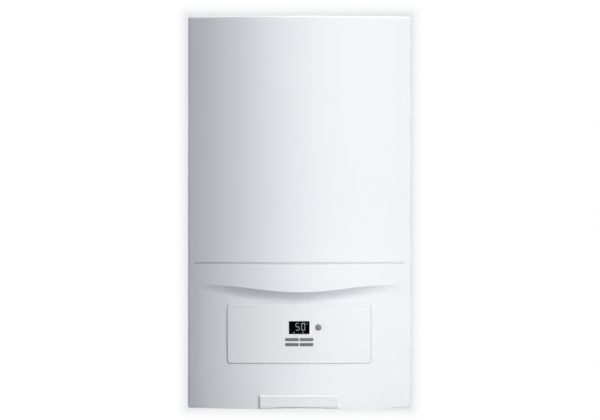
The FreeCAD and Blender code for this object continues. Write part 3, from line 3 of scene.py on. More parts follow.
import bpy
import bmesh
import math
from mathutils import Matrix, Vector


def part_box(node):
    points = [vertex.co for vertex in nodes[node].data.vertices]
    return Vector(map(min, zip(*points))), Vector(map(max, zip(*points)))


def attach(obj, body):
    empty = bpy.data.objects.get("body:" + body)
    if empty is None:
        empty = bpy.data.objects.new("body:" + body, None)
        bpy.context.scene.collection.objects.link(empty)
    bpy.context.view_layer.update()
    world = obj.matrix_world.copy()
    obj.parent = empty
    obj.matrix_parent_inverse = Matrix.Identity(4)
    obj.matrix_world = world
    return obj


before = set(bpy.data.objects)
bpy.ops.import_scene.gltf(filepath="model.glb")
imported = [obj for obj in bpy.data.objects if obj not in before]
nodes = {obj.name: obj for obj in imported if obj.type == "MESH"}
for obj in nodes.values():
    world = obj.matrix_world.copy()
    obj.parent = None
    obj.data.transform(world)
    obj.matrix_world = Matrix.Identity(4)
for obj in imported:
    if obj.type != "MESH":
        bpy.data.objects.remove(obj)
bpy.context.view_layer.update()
scene = bpy.context.scene
MM = 0.001
# Sockets of a node that mixes colours: its factor, its two colours and its result
FACTOR, FIRST, SECOND, MIXED = 0, 6, 7, 2


# Shader helpers

def fill(node, inputs):
    """Plain input values of a node, by socket name with an underscore for a blank."""
    for key, value in inputs.items():
        node.inputs[key.replace("_", " ")].default_value = value
    return node


def add(tree, kind, **inputs):
    """One shader node with its plain input values."""
    return fill(tree.nodes.new(kind), inputs)


def operator(tree, kind, operation):
    """A math or vector math node for one operation."""
    node = tree.nodes.new(kind)
    node.operation = operation
    return node


def colour_mix(tree, blend="MIX"):
    """A node that mixes two colours."""
    node = tree.nodes.new("ShaderNodeMix")
    node.data_type = "RGBA"
    node.blend_type = blend
    return node


def shader_group(name, inputs, outputs):
    """An empty node group with named sockets, and its input and output nodes."""
    tree = bpy.data.node_groups.new(name, "ShaderNodeTree")
    for label, kind, start in inputs:
        socket = tree.interface.new_socket(label, in_out="INPUT", socket_type=kind)
        if start is not None:
            socket.default_value = start
    for label, kind in outputs:
        tree.interface.new_socket(label, in_out="OUTPUT", socket_type=kind)
    return tree, tree.nodes.new("NodeGroupInput"), tree.nodes.new("NodeGroupOutput")


def cloudy_tone():
    """Soft patches between two tones, with the gloss drifting the same way."""
    tree, start, end = shader_group(
        "Cloudy tone",
        [
            ("Vector", "NodeSocketVector", None),
            ("Scale", "NodeSocketFloat", 12.0),
            ("Light tone", "NodeSocketColor", (0.8, 0.8, 0.8, 1)),
            ("Dark tone", "NodeSocketColor", (0.7, 0.7, 0.7, 1)),
            ("Smooth", "NodeSocketFloat", 0.3),
            ("Rough", "NodeSocketFloat", 0.5),
        ],
        [("Colour", "NodeSocketColor"), ("Roughness", "NodeSocketFloat")],
    )
    link = tree.links.new
    noise = add(tree, "ShaderNodeTexNoise", Detail=5.0, Roughness=0.6)
    link(start.outputs["Vector"], noise.inputs["Vector"])
    link(start.outputs["Scale"], noise.inputs["Scale"])
    patch = add(tree, "ShaderNodeMapRange", From_Min=0.3, From_Max=0.7)
    link(noise.outputs["Fac"], patch.inputs["Value"])
    tone = colour_mix(tree)
    link(patch.outputs["Result"], tone.inputs[FACTOR])
    link(start.outputs["Light tone"], tone.inputs[FIRST])
    link(start.outputs["Dark tone"], tone.inputs[SECOND])
    gloss = tree.nodes.new("ShaderNodeMapRange")
    link(patch.outputs["Result"], gloss.inputs["Value"])
    link(start.outputs["Smooth"], gloss.inputs["To Min"])
    link(start.outputs["Rough"], gloss.inputs["To Max"])
    link(tone.outputs[MIXED], end.inputs["Colour"])
    link(gloss.outputs["Result"], end.inputs["Roughness"])
    return tree


def grain_height():
    """Fine surface grain as a height; a stretch turns it into brushing or drawn lines."""
    tree, start, end = shader_group(
        "Grain height",
        [
            ("Vector", "NodeSocketVector", None),
            ("Stretch", "NodeSocketVector", (1.0, 1.0, 1.0)),
            ("Scale", "NodeSocketFloat", 900.0),
        ],
        [("Height", "NodeSocketFloat")],
    )
    link = tree.links.new
    pull = operator(tree, "ShaderNodeVectorMath", "MULTIPLY")
    link(start.outputs["Vector"], pull.inputs[0])
    link(start.outputs["Stretch"], pull.inputs[1])
    noise = add(tree, "ShaderNodeTexNoise", Detail=3.0, Roughness=0.55)
    link(pull.outputs[0], noise.inputs["Vector"])
    link(start.outputs["Scale"], noise.inputs["Scale"])
    link(noise.outputs["Fac"], end.inputs["Height"])
    return tree


def zinc_spangle():
    """Flat crystal flakes of hot-dip zinc: a value for each flake."""
    tree, start, end = shader_group(
        "Zinc spangle",
        [("Vector", "NodeSocketVector", None), ("Scale", "NodeSocketFloat", 140.0)],
        [("Flake", "NodeSocketFloat")],
    )
    link = tree.links.new
    cells = add(tree, "ShaderNodeTexVoronoi", Randomness=1.0)
    link(start.outputs["Vector"], cells.inputs["Vector"])
    link(start.outputs["Scale"], cells.inputs["Scale"])
    split = tree.nodes.new("ShaderNodeSeparateColor")
    link(cells.outputs["Color"], split.inputs[0])
    link(split.outputs[0], end.inputs["Flake"])
    return tree


CLOUDY = cloudy_tone()
GRAIN = grain_height()
SPANGLE = zinc_spangle()


def placed(tree, group, **inputs):
    """A shader group as a node of a material."""
    node = tree.nodes.new("ShaderNodeGroup")
    node.node_tree = group
    return fill(node, inputs)


def finish(name, light, dark, smooth, rough, patch, grain, depth, stretch=(1, 1, 1), **shader):
    """A material with drifting tone and gloss and a fine grain.

    Two tones, the gloss's two ends, the scale of the patches and of the grain, and the grain's
    depth in millimetres; stretch draws the grain out, and shader sets other inputs of the skin.
    """
    mat = bpy.data.materials.new(name)
    mat.use_nodes = True
    tree = mat.node_tree
    link = tree.links.new
    skin = fill(tree.nodes["Principled BSDF"], shader)
    place = tree.nodes.new("ShaderNodeTexCoord")
    tone = placed(
        tree,
        CLOUDY,
        Scale=patch,
        Light_tone=(*light, 1),
        Dark_tone=(*dark, 1),
        Smooth=smooth,
        Rough=rough,
    )
    link(place.outputs["Object"], tone.inputs["Vector"])
    link(tone.outputs["Colour"], skin.inputs["Base Color"])
    link(tone.outputs["Roughness"], skin.inputs["Roughness"])
    height = placed(tree, GRAIN, Stretch=stretch, Scale=grain)
    link(place.outputs["Object"], height.inputs["Vector"])
    bump = add(tree, "ShaderNodeBump", Strength=1.0, Distance=depth * MM)
    link(height.outputs["Height"], bump.inputs["Height"])
    link(bump.outputs["Normal"], skin.inputs["Normal"])
    return mat


def parts_of(mat):
    """A finish's tree, skin, coordinates and drifting tone."""
    tree = mat.node_tree
    place = next(n for n in tree.nodes if n.type == "TEX_COORD")
    tone = next(n for n in tree.nodes if n.type == "GROUP" and n.node_tree == CLOUDY)
    return tree, tree.nodes["Principled BSDF"], place, tone


def galvanised_finish():
    """Zinc-coated sheet with its flakes."""
    light, dark = (0.56, 0.58, 0.6), (0.47, 0.49, 0.51)
    mat = finish("Galvanised sheet", light, dark, 0.34, 0.5, 9, 500, 0.01, Metallic=1.0)
    tree, skin, place, tone = parts_of(mat)
    link = tree.links.new
    flake = placed(tree, SPANGLE, Scale=150.0)
    link(place.outputs["Object"], flake.inputs["Vector"])
    mix = colour_mix(tree, "MULTIPLY")
    mix.inputs[FACTOR].default_value = 1.0
    shade = add(tree, "ShaderNodeMapRange", To_Min=0.8, To_Max=1.08)
    link(flake.outputs["Flake"], shade.inputs["Value"])
    link(tone.outputs["Colour"], mix.inputs[FIRST])
    link(shade.outputs["Result"], mix.inputs[SECOND])
    link(mix.outputs[MIXED], skin.inputs["Base Color"])
    return mat


def board_finish():
    """Green lacquered board with a fine pattern of tracks."""
    light, dark, track = (0.03, 0.16, 0.07), (0.02, 0.11, 0.05), (0.09, 0.3, 0.13)
    mat = finish("Circuit board", light, dark, 0.3, 0.42, 40, 1200, 0.01)
    tree, skin, place, tone = parts_of(mat)
    link = tree.links.new
    tracks = add(tree, "ShaderNodeTexVoronoi", Scale=160.0, Randomness=0.6)
    tracks.feature = "DISTANCE_TO_EDGE"
    link(place.outputs["Object"], tracks.inputs["Vector"])
    line = add(tree, "ShaderNodeMapRange", From_Min=0.05, From_Max=0.09)
    link(tracks.outputs["Distance"], line.inputs["Value"])
    mix = colour_mix(tree)
    mix.inputs[FIRST].default_value = (*track, 1)
    link(line.outputs["Result"], mix.inputs[FACTOR])
    link(tone.outputs["Colour"], mix.inputs[SECOND])
    link(mix.outputs[MIXED], skin.inputs["Base Color"])
    return mat


def glow_finish(name, light, dark, strength):
    """Lit display marks, a little uneven as on a real display."""
    mat = finish(name, light, dark, 0.4, 0.5, 600, 2000, 0.0)
    tree, skin, _, tone = parts_of(mat)
    tree.links.new(tone.outputs["Colour"], skin.inputs["Emission Color"])
    skin.inputs["Emission Strength"].default_value = strength
    return mat


FINISHES = {
    "white_enamel": finish(
        "White enamel",
        (0.885, 0.89, 0.9),
        (0.87, 0.876, 0.888),
        0.42, 0.5, 5, 700, 0.006, IOR=1.42,
    ),
    "white_plastic": finish(
        "White plastic",
        (0.885, 0.888, 0.894),
        (0.868, 0.872, 0.88),
        0.38, 0.46, 8, 1600, 0.012, IOR=1.46,
    ),
    "grey_key": finish(
        "Grey key plastic",
        (0.165, 0.168, 0.18),
        (0.14, 0.143, 0.155),
        0.42, 0.52, 60, 2200, 0.015,
    ),
    "display_black": finish(
        "Display black",
        (0.003, 0.004, 0.01),
        (0.002, 0.003, 0.007),
        0.3, 0.4, 30, 1500, 0.002, Specular_IOR_Level=0.05,
    ),
    "galvanised": galvanised_finish(),
    "steel": finish(
        "Bright steel",
        (0.6, 0.6, 0.6),
        (0.5, 0.5, 0.5),
        0.26, 0.42, 40, 900, 0.006, (1, 1, 8), Metallic=1.0,
    ),
    "seal_foam": finish(
        "Seal foam",
        (0.05, 0.05, 0.052),
        (0.03, 0.03, 0.032),
        0.85, 0.95, 60, 1300, 0.25,
    ),
    "flue_plastic": finish(
        "Flue plastic",
        (0.62, 0.62, 0.6),
        (0.56, 0.56, 0.54),
        0.4, 0.5, 14, 1200, 0.012,
    ),
    "red_enamel": finish(
        "Red enamel",
        (0.42, 0.03, 0.025),
        (0.36, 0.022, 0.02),
        0.3, 0.42, 10, 600, 0.02,
    ),
    "cast_aluminium": finish(
        "Cast aluminium",
        (0.62, 0.62, 0.62),
        (0.5, 0.5, 0.5),
        0.42, 0.6, 22, 1100, 0.12, Metallic=1.0,
    ),
    "ceramic": finish(
        "Ceramic",
        (0.8, 0.77, 0.7),
        (0.72, 0.69, 0.62),
        0.3, 0.45, 60, 1500, 0.01,
    ),
    "black_plastic": finish(
        "Black plastic",
        (0.032, 0.032, 0.034),
        (0.022, 0.022, 0.024),
        0.42, 0.56, 20, 1700, 0.03,
    ),
    "lead_rubber": finish(
        "Grey rubber",
        (0.16, 0.16, 0.165),
        (0.11, 0.11, 0.115),
        0.55, 0.7, 30, 1400, 0.02,
    ),
    "copper": finish(
        "Copper",
        (0.72, 0.34, 0.2),
        (0.52, 0.23, 0.13),
        0.24, 0.42, 26, 700, 0.006, (6, 6, 1), Metallic=1.0,
    ),
    "brass": finish(
        "Brass",
        (0.68, 0.5, 0.22),
        (0.56, 0.4, 0.17),
        0.28, 0.46, 34, 900, 0.02, Metallic=1.0,
    ),
    "red_plastic": finish(
        "Red plastic",
        (0.5, 0.03, 0.03),
        (0.42, 0.022, 0.022),
        0.35, 0.45, 30, 1500, 0.02,
    ),
    "box_plastic": finish(
        "Box plastic",
        (0.3, 0.31, 0.32),
        (0.26, 0.27, 0.28),
        0.45, 0.58, 12, 1500, 0.03,
    ),
    "board_green": board_finish(),
    "display_glass": finish(
        "Display glass",
        (0.97, 0.97, 0.97),
        (0.95, 0.95, 0.95),
        0.02, 0.05, 50, 300, 0.0, Transmission_Weight=1.0, IOR=1.06,
    ),
}
PALE_MARK = finish(
    "Pale key mark",
    (0.43, 0.435, 0.45),
    (0.39, 0.395, 0.41),
    0.45, 0.55, 200, 2500, 0.004,
)
LIT_MARK = glow_finish("Lit display mark", (0.262, 0.295, 0.39), (0.228, 0.26, 0.35), 0.5)
DIM_MARK = glow_finish("Dim display mark", (0.16, 0.17, 0.19), (0.13, 0.14, 0.16), 0.55)
# A greyer enamel for the top and side panels and the flue adaptor: a plainer paint than the front's,
# and partly painted shade that holds down the key lamp's glare on the top
PANEL_ENAMEL_AND_SHADE = finish(
    "Panel enamel with painted shade",
    (0.66, 0.665, 0.675),
    (0.64, 0.645, 0.655),
    0.36, 0.44, 5, 700, 0.008,
)
BUTTON_GREY = finish(
    "Grey button plastic",
    (0.232, 0.238, 0.25),
    (0.203, 0.208, 0.22),
    0.42, 0.52, 60, 2200, 0.015,
)
# Black rubber for the seals and grommets, and also painted shade in screw slots and vents
BLACK_AND_PAINTED_SHADE = finish(
    "Black rubber and painted shade",
    (0.02, 0.02, 0.021),
    (0.013, 0.013, 0.014),
    0.5, 0.66, 40, 1500, 0.03,
)


def dress_nodes():
    """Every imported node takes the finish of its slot."""
    for node in nodes.values():
        for slot in node.material_slots:
            slot.material = FINISHES[slot.material.name.split(".")[0]]
    # These take the greyer enamel, partly painted shade against the glare on the top
    for name in ("top_panel", "left_side_panel", "right_side_panel", "flue_adaptor"):
        nodes[name].material_slots[0].material = PANEL_ENAMEL_AND_SHADE
    nodes["reset_button"].material_slots[0].material = BUTTON_GREY


# Mesh helpers

def piece(name, mesh, body, slot, *materials, smooth=True):
    """A finished mesh as a piece that rides on a body."""
    for mat in materials:
        mesh.materials.append(mat)
    for face in mesh.polygons:
        face.use_smooth = smooth
    item = bpy.data.objects.new(name, mesh)
    scene.collection.objects.link(item)
    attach(item, body)


def mesh_of(name, shape):
    """A mesh from a finished shape, its faces turned outward."""
    mesh = bpy.data.meshes.new(name)
    bmesh.ops.recalc_face_normals(shape, faces=shape.faces)
    shape.to_mesh(mesh)
    shape.free()
    return mesh


def bar(shape, corners, front, back):
    """A flat prism from an outline in the face plane, given as (x, z) places."""
    fore = [shape.verts.new((x, front, z)) for x, z in corners]
    aft = [shape.verts.new((x, back, z)) for x, z in corners]
    shape.faces.new(fore)
    shape.faces.new(aft[::-1])
    for a in range(len(corners)):
        b = (a + 1) % len(corners)
        shape.faces.new([fore[b], fore[a], aft[a], aft[b]])


def disc(radius, count, x, z, turn=0.0):
    """Places round a circle in the face plane."""
    turns = [turn + n * 2 * math.pi / count for n in range(count)]
    return [(x + radius * math.cos(t), z + radius * math.sin(t)) for t in turns]


# The display's lit marks

def segment(x, z, length, thick, lying):
    """One bar of a seven-bar figure, with pointed ends."""
    half, side = length / 2, thick / 2
    inner = half - side
    run = [(-half, 0), (-inner, side), (inner, side), (half, 0), (inner, -side), (-inner, -side)]
    return [(x + a, z + b) if lying else (x + b, z + a) for a, b in run]


FIGURE_BARS = {"5": "afgcd", "0": "abcdef"}
BAR_GAP_SHARE = 0.3
# The picture's scale, the casing's middle and base line in it, and the base's height
PIXEL = 1.797 * MM
MIDDLE_PX, BASE_PX = 299.2, 408
BASE = -0.640


def figure(shape, sign, x, z, wide, tall, thick, front, back):
    """One figure of the display, made of bars."""
    length = tall / 2
    places = {
        "a": (x, z + tall / 2, wide, True),
        "g": (x, z, wide, True),
        "d": (x, z - tall / 2, wide, True),
        "f": (x - wide / 2, z + tall / 4, length, False),
        "b": (x + wide / 2, z + tall / 4, length, False),
        "e": (x - wide / 2, z - tall / 4, length, False),
        "c": (x + wide / 2, z - tall / 4, length, False),
    }
    for key in FIGURE_BARS[sign]:
        px, pz, run, lying = places[key]
        bar(shape, segment(px, pz, run - thick * BAR_GAP_SHARE, thick, lying), front, back)


def photo_x(px):
    """Distance from the middle of a place in the picture."""
    return (px - MIDDLE_PX) * PIXEL


def photo_z(py):
    """Height of a place in the picture."""
    return (BASE_PX - py) * PIXEL + BASE


def display_marks():
    """A temperature in lit figures, a small ring and two small signs, on the display's face."""
    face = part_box("display_module")[0].y
    front, back = face - 0.25 * MM, face - 0.02 * MM
    shape = bmesh.new()
    tall, wide, thick = 12.2 * MM, 5.8 * MM, 0.9 * MM
    middle = photo_z(326.3)
    for sign, px in (("5", 297.5), ("0", 303.2)):
        figure(shape, sign, photo_x(px), middle, wide, tall, thick, front, back)
    tap_x, heat_x, sign_z = photo_x(293.9), photo_x(303), photo_z(332.1)
    # A tap: its body, spout and handle, as shifts, length, thickness and whether it lies
    tap = ((0.0, 0.0, 2.6, 0.8, True), (-0.9, -0.7, 1.6, 0.7, False), (0.7, 0.8, 1.6, 0.6, False))
    for x, z, run, width, lying in tap:
        run, width = run * MM, width * MM
        bar(shape, segment(tap_x + x * MM, sign_z + z * MM, run, width, lying), front, back)
    # A radiator: three upright bars
    step, run, width = 0.9 * MM, 2.0 * MM, 0.55 * MM
    for n in (-1, 0, 1):
        bar(shape, segment(heat_x + n * step, sign_z, run, width, False), front, back)
    mesh = mesh_of("display_figures", shape)
    piece("display_figures", mesh, "electronics", "display_glass", LIT_MARK, smooth=False)
    shape = bmesh.new()
    ring_x, ring_z, sides = photo_x(307.2), photo_z(323.2), 20
    outer = disc(1.1 * MM, sides, ring_x, ring_z)
    inner = disc(0.6 * MM, sides, ring_x, ring_z)
    for a in range(sides):
        b = (a + 1) % sides
        bar(shape, [outer[a], outer[b], inner[b], inner[a]], front, back)
    mesh = mesh_of("display_ring", shape)
    piece("display_ring", mesh, "electronics", "display_glass", DIM_MARK, smooth=False)


def key_marks():
    """Small pale signs on the four keys: minus and plus in two rows."""
    proud, sunk, overlap = 0.06 * MM, 0.3 * MM, 0.01 * MM
    long, thick = 2.6 * MM, 0.7 * MM
    for row, side in ((r, s) for r in ("upper", "lower") for s in ("left", "right")):
        low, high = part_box(f"{row}_{side}_key")
        front, back = low.y - proud, low.y + sunk
        x = (low.x + high.x) / 2
        z = (low.z + high.z) / 2
        shape = bmesh.new()
        bar(shape, segment(x, z, long, thick, True), front, back)
        if side == "right":
            bar(shape, segment(x, z, long, thick, False), front - overlap, back)
        mesh = mesh_of(f"{row}_{side}_mark", shape)
        piece(f"{row}_{side}_mark", mesh, f"{row}_{side}", "grey_key", PALE_MARK, smooth=False)


# Repeated fittings, grown on points

FRONT, REAR = (0, -1, 0), (0, 1, 0)
SHARP_ANGLE = math.radians(35)
# How finely round shapes are divided, and how high a domed head is as a share of its radius
COLLAR_SIDES, HOOP_SIDES = 28, 48
DOME_SIDES, DOME_RINGS, DOME_RISE = 20, 10, 0.55


def spot(x, y, z, facing=(0, 0, 1), size=1.0):
    """A place for a fitting in millimetres, the way that it faces, and its size."""
    return Vector((x, y, z)) * MM, Vector(facing), size


def ring_spots(x, y, z, radius, count, turn):
    """Places round a circle in an upright plane, facing the front."""
    return [spot(a, y, c, FRONT) for a, c in disc(radius, count, x, z, turn)]


def fittings(name, body, slot, mat, spots, shape, **sizes):
    """One piece made of a small shape set on every spot; sizes are in millimetres."""
    tree = bpy.data.node_groups.new(name, "GeometryNodeTree")
    tree.interface.new_socket("Geometry", in_out="INPUT", socket_type="NodeSocketGeometry")
    tree.interface.new_socket("Geometry", in_out="OUTPUT", socket_type="NodeSocketGeometry")
    labels = {
        key: tree.interface.new_socket(key, in_out="INPUT", socket_type="NodeSocketFloat")
        for key in sizes
    }
    start, end = tree.nodes.new("NodeGroupInput"), tree.nodes.new("NodeGroupOutput")
    link = tree.links.new
    form = shape(tree, {key: start.outputs[key] for key in sizes})
    facing = tree.nodes.new("GeometryNodeInputNamedAttribute")
    facing.data_type = "FLOAT_VECTOR"
    facing.inputs["Name"].default_value = "facing"
    size = tree.nodes.new("GeometryNodeInputNamedAttribute")
    size.data_type = "FLOAT"
    size.inputs["Name"].default_value = "size"
    turn = tree.nodes.new("FunctionNodeAlignRotationToVector")
    turn.axis = "Z"
    link(facing.outputs["Attribute"], turn.inputs["Vector"])
    copies = tree.nodes.new("GeometryNodeInstanceOnPoints")
    link(start.outputs["Geometry"], copies.inputs["Points"])
    link(form, copies.inputs["Instance"])
    link(turn.outputs["Rotation"], copies.inputs["Rotation"])
    link(size.outputs["Attribute"], copies.inputs["Scale"])
    real = tree.nodes.new("GeometryNodeRealizeInstances")
    link(copies.outputs["Instances"], real.inputs["Geometry"])
    paint = tree.nodes.new("GeometryNodeSetMaterial")
    paint.inputs["Material"].default_value = mat
    link(real.outputs["Geometry"], paint.inputs["Geometry"])
    link(paint.outputs["Geometry"], end.inputs["Geometry"])

    seeds = bpy.data.meshes.new(name + "_spots")
    seeds.from_pydata([place for place, _, _ in spots], [], [])
    ways = seeds.attributes.new("facing", "FLOAT_VECTOR", "POINT")
    for n, (_, way, _) in enumerate(spots):
        ways.data[n].vector = way
    scales = seeds.attributes.new("size", "FLOAT", "POINT")
    for n, (_, _, scale) in enumerate(spots):
        scales.data[n].value = scale
    maker = bpy.data.objects.new(name + "_maker", seeds)
    scene.collection.objects.link(maker)
    grow = maker.modifiers.new("Grow", "NODES")
    grow.node_group = tree
    for key, socket in labels.items():
        grow[socket.identifier] = sizes[key] * MM
    graph = bpy.context.evaluated_depsgraph_get()
    mesh = bpy.data.meshes.new_from_object(maker.evaluated_get(graph))
    maker.modifiers.remove(grow)
    bpy.data.objects.remove(maker)
    for layer in ("facing", "size"):
        if layer in mesh.attributes:
            mesh.attributes.remove(mesh.attributes[layer])
    mesh.name = name
    mesh.set_sharp_from_angle(angle=SHARP_ANGLE)
    piece(name, mesh, body, slot)


def joined(tree, *forms):
    """Several forms as one."""
    node = tree.nodes.new("GeometryNodeJoinGeometry")
    for form in reversed(forms):
        tree.links.new(form, node.inputs["Geometry"])
    return node.outputs["Geometry"]


def drum(tree, sides, radius, depth):
    """A prism or cylinder along z."""
    node = tree.nodes.new("GeometryNodeMeshCylinder")
    node.inputs["Vertices"].default_value = sides
    tree.links.new(radius, node.inputs["Radius"])
    tree.links.new(depth, node.inputs["Depth"])
    return node.outputs["Mesh"]


def hex_nut(tree, size):
    """A six-sided nut with a round collar showing at both ends."""
    nut = drum(tree, 6, size["corner"], size["height"])
    collar = drum(tree, COLLAR_SIDES, size["collar"], size["length"])
    return joined(tree, nut, collar)


def dome_head(tree, size):
    """A low domed head, half sunk."""
    ball = tree.nodes.new("GeometryNodeMeshUVSphere")
    ball.inputs["Segments"].default_value = DOME_SIDES
    ball.inputs["Rings"].default_value = DOME_RINGS
    tree.links.new(size["radius"], ball.inputs["Radius"])
    press = tree.nodes.new("GeometryNodeTransform")
    press.inputs["Scale"].default_value = (1, 1, DOME_RISE)
    tree.links.new(ball.outputs["Mesh"], press.inputs["Geometry"])
    return press.outputs["Geometry"]


def band(tree, size):
    """A flat hoop: a strip of metal or rubber bent round."""
    hoop = tree.nodes.new("GeometryNodeCurvePrimitiveCircle")
    hoop.inputs["Resolution"].default_value = HOOP_SIDES
    tree.links.new(size["radius"], hoop.inputs["Radius"])
    strip = tree.nodes.new("GeometryNodeCurvePrimitiveQuadrilateral")
    tree.links.new(size["thickness"], strip.inputs["Width"])
    tree.links.new(size["width"], strip.inputs["Height"])
    sweep = tree.nodes.new("GeometryNodeCurveToMesh")
    tree.links.new(hoop.outputs["Curve"], sweep.inputs["Curve"])
    tree.links.new(strip.outputs["Curve"], sweep.inputs["Profile Curve"])
    return sweep.outputs["Mesh"]


def slab(tree, size):
    """A small block, its three sizes along x, y and z."""
    join = tree.nodes.new("ShaderNodeCombineXYZ")
    for axis in "xyz":
        tree.links.new(size[axis], join.inputs[axis.upper()])
    cube = tree.nodes.new("GeometryNodeMeshCube")
    tree.links.new(join.outputs[0], cube.inputs["Size"])
    return cube.outputs["Mesh"]


def dressed(name, body, slot, spots, shape, **sizes):
    """Fittings in the finish of their slot."""
    fittings(name, body, slot, FINISHES[slot], spots, shape, **sizes)


def pipe_fittings():
    """Nuts, back nuts and rubber grommets on the water and gas pipes."""
    row = -82.0
    wide, narrow = 1.0, 0.7
    flow_x, return_x, coil_x = -100, 100, 10
    nut_level, grommet_level, coil_level, plate_level = -600.5, -594.3, -311.5, -480
    tails = [(flow_x, wide), (return_x, wide)]
    tails += [(x, narrow) for x in (-35, 0, 35, -150)]
    spots = [spot(x, row, nut_level, size=s) for x, s in tails]
    spots += [spot(flow_x, row, z) for z in (-536.5, -443.5, coil_level)]
    spots += [spot(return_x, row, z) for z in (-572.5, -447.5)]
    spots += [spot(coil_x, row, coil_level)]
    spots += [spot(x, row, plate_level, size=narrow) for x in (-35, 35)]
    spots += [spot(124.5, -169, -345, size=narrow)]
    nut = {"corner": 17.5, "height": 9.0, "collar": 14.6, "length": 11.5}
    dressed("pipe_nuts", "chassis", "brass", spots, hex_nut, **nut)
    spots = [spot(x, row, grommet_level, size=s) for x, s in tails]
    ring = {"radius": 14.5, "thickness": 5.0, "width": 4.0}
    fittings("pipe_grommets", "chassis", "lead_rubber", BLACK_AND_PAINTED_SHADE, spots, band, **ring)
    clips = [spot(-160, -150, -456.5), spot(-75, -176, -312)]
    ring = {"radius": 9.4, "thickness": 0.9, "width": 7.0}
    dressed("hose_clips", "chassis", "steel", clips, band, **ring)


def flue_rings():
    """Black lip seals in the flue socket and air collar, and a seal round the flue pipe."""
    depth, pipe = -130, 32.6
    places = ((67.0, 30.0), (67.2, 48.2), (21.0, pipe), (-57.0, pipe))
    spots = [spot(0, depth, z, size=radius) for z, radius in places]
    # The hoop has a radius of one, so its other sizes are shares of each spot's radius.
    hoop = {"radius": 1.0, "thickness": 0.03, "width": 0.09}
    fittings("flue_seals", "chassis", "lead_rubber", BLACK_AND_PAINTED_SHADE, spots, band, **hoop)


def head_slots(name, spots, body, long):
    """Crossed slots in round screw heads, drawn as thin black crosses: painted shade where the slots
    are.
    """
    def cross(tree, size):
        a = slab(tree, {"x": size["long"], "y": size["narrow"], "z": size["deep"]})
        b = slab(tree, {"x": size["narrow"], "y": size["long"], "z": size["deep"]})
        return joined(tree, a, b)
    narrow_share, deep = 0.24, 0.12
    slot = {"long": long, "narrow": long * narrow_share, "deep": deep}
    fittings(name, body, "black_plastic", BLACK_AND_PAINTED_SHADE, spots, cross, **slot)


def top_screws():
    """Black crosses of painted shade for the slots in the heads of the screws along the top panel's
    sides.
    """
    side, level = 191.6, 65.0
    rows = (-44.8, -112.1, -179.4)
    spots = [spot(x, y, level) for x in (-side, side) for y in rows]
    head_slots("top_screw_slots", spots, "chassis", 4.6)


def box_back():
    """The electronics box's back cover: raised frame, screws with black crosses of painted shade in
    their slots, vents drawn as black strips of painted shade, and a row of plug sockets.
    """
    corner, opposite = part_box("electronics_cover")
    face, low, high = opposite.y / MM, corner.z / MM, opposite.z / MM
    half, sunk, proud = 165.0, 0.3, 1.2
    shape = bmesh.new()
    for inset, wide in ((6.0, 3.0), (26.0, 2.0)):
        a, b = half - inset, half - inset - wide
        c, d = low + inset, high - inset
        runs = [
            [(-a, c), (a, c), (b, c + wide), (-b, c + wide)],
            [(a, c), (a, d), (b, d - wide), (b, c + wide)],
            [(a, d), (-a, d), (-b, d - wide), (b, d - wide)],
            [(-a, d), (-a, c), (-b, c + wide), (-b, d - wide)],
        ]
        for run in runs:
            places = [(x * MM, z * MM) for x, z in run]
            bar(shape, places, (face - sunk) * MM, (face + proud) * MM)
    mesh, grey = mesh_of("cover_ribs", shape), FINISHES["box_plastic"]
    piece("cover_ribs", mesh, "electronics", "box_plastic", grey, smooth=False)
    screw_x, screw_inset, head_rise = 147.0, 17.0, 2.3
    levels = (low + screw_inset, high - screw_inset)
    holes = [(x, z) for x in (-screw_x, 0.0, screw_x) for z in levels]
    heads = [spot(x, face, z, REAR) for x, z in holes]
    dressed("cover_screws", "electronics", "steel", heads, dome_head, radius=4.2)
    # Black crosses on the screw heads: painted shade in their slots
    slots = [spot(x, face + head_rise, z, REAR) for x, z in holes]
    head_slots("cover_screw_slots", slots, "electronics", 4.4)
    # The vents are thin black strips on the cover: painted shade where the openings are
    vent_level, vent_pitch, vent_shift = (low + high) / 2 + 18.0, 9.0, 78.0
    places = [x * vent_pitch + side * vent_shift for side in (-1, 1) for x in range(-5, 6)]
    vents = [spot(x, face, vent_level) for x in places]
    black = "electronics", "black_plastic", BLACK_AND_PAINTED_SHADE
    fittings("cover_vents", *black, vents, slab, x=3.2, y=0.3, z=44.0)
    plug_level, plug_pitch, pin_pitch = low + 46.0, 42.0, 5.0
    plug_rise, pin_rise = 2.0, 4.1
    five = range(-2, 3)
    plugs = [spot(x * plug_pitch, face + plug_rise, plug_level) for x in five]
    dressed("plug_sockets", "electronics", "white_plastic", plugs, slab, x=26.0, y=4.4, z=11.0)
    places = [x * plug_pitch + n * pin_pitch for x in five for n in five]
    pins = [spot(x, face + pin_rise, plug_level) for x in places]
    fittings("plug_pins", *black, pins, slab, x=3.0, y=0.5, z=6.0)


def back_swages():
    """Flat raised fields pressed into the back panel to stiffen it."""
    face = -10 * MM
    # Half width and half height of a field, and how far out: sunk edge, foot and flat top
    steps = ((78, 62, -0.3), (78, 62, 0.0), (76.6, 60.6, 1.4))
    columns, rows = (-100, 100), (-150, -310, -470)
    shape = bmesh.new()
    for x, z in ((x, z) for x in columns for z in rows):
        rings = []
        for wide, tall, y in steps:
            corners = [(-wide, -tall), (wide, -tall), (wide, tall), (-wide, tall)]
            places = [((x + i) * MM, face + y * MM, (z + j) * MM) for i, j in corners]
            rings.append([shape.verts.new(place) for place in places])
        for under, over in zip(rings, rings[1:]):
            for n in range(4):
                m = (n + 1) % 4
                shape.faces.new([under[n], under[m], over[m], over[n]])
        shape.faces.new(rings[0])
        shape.faces.new(rings[-1])
    mesh, zinc = mesh_of("back_swages", shape), FINISHES["galvanised"]
    piece("back_swages", mesh, "chassis", "galvanised", zinc, smooth=False)


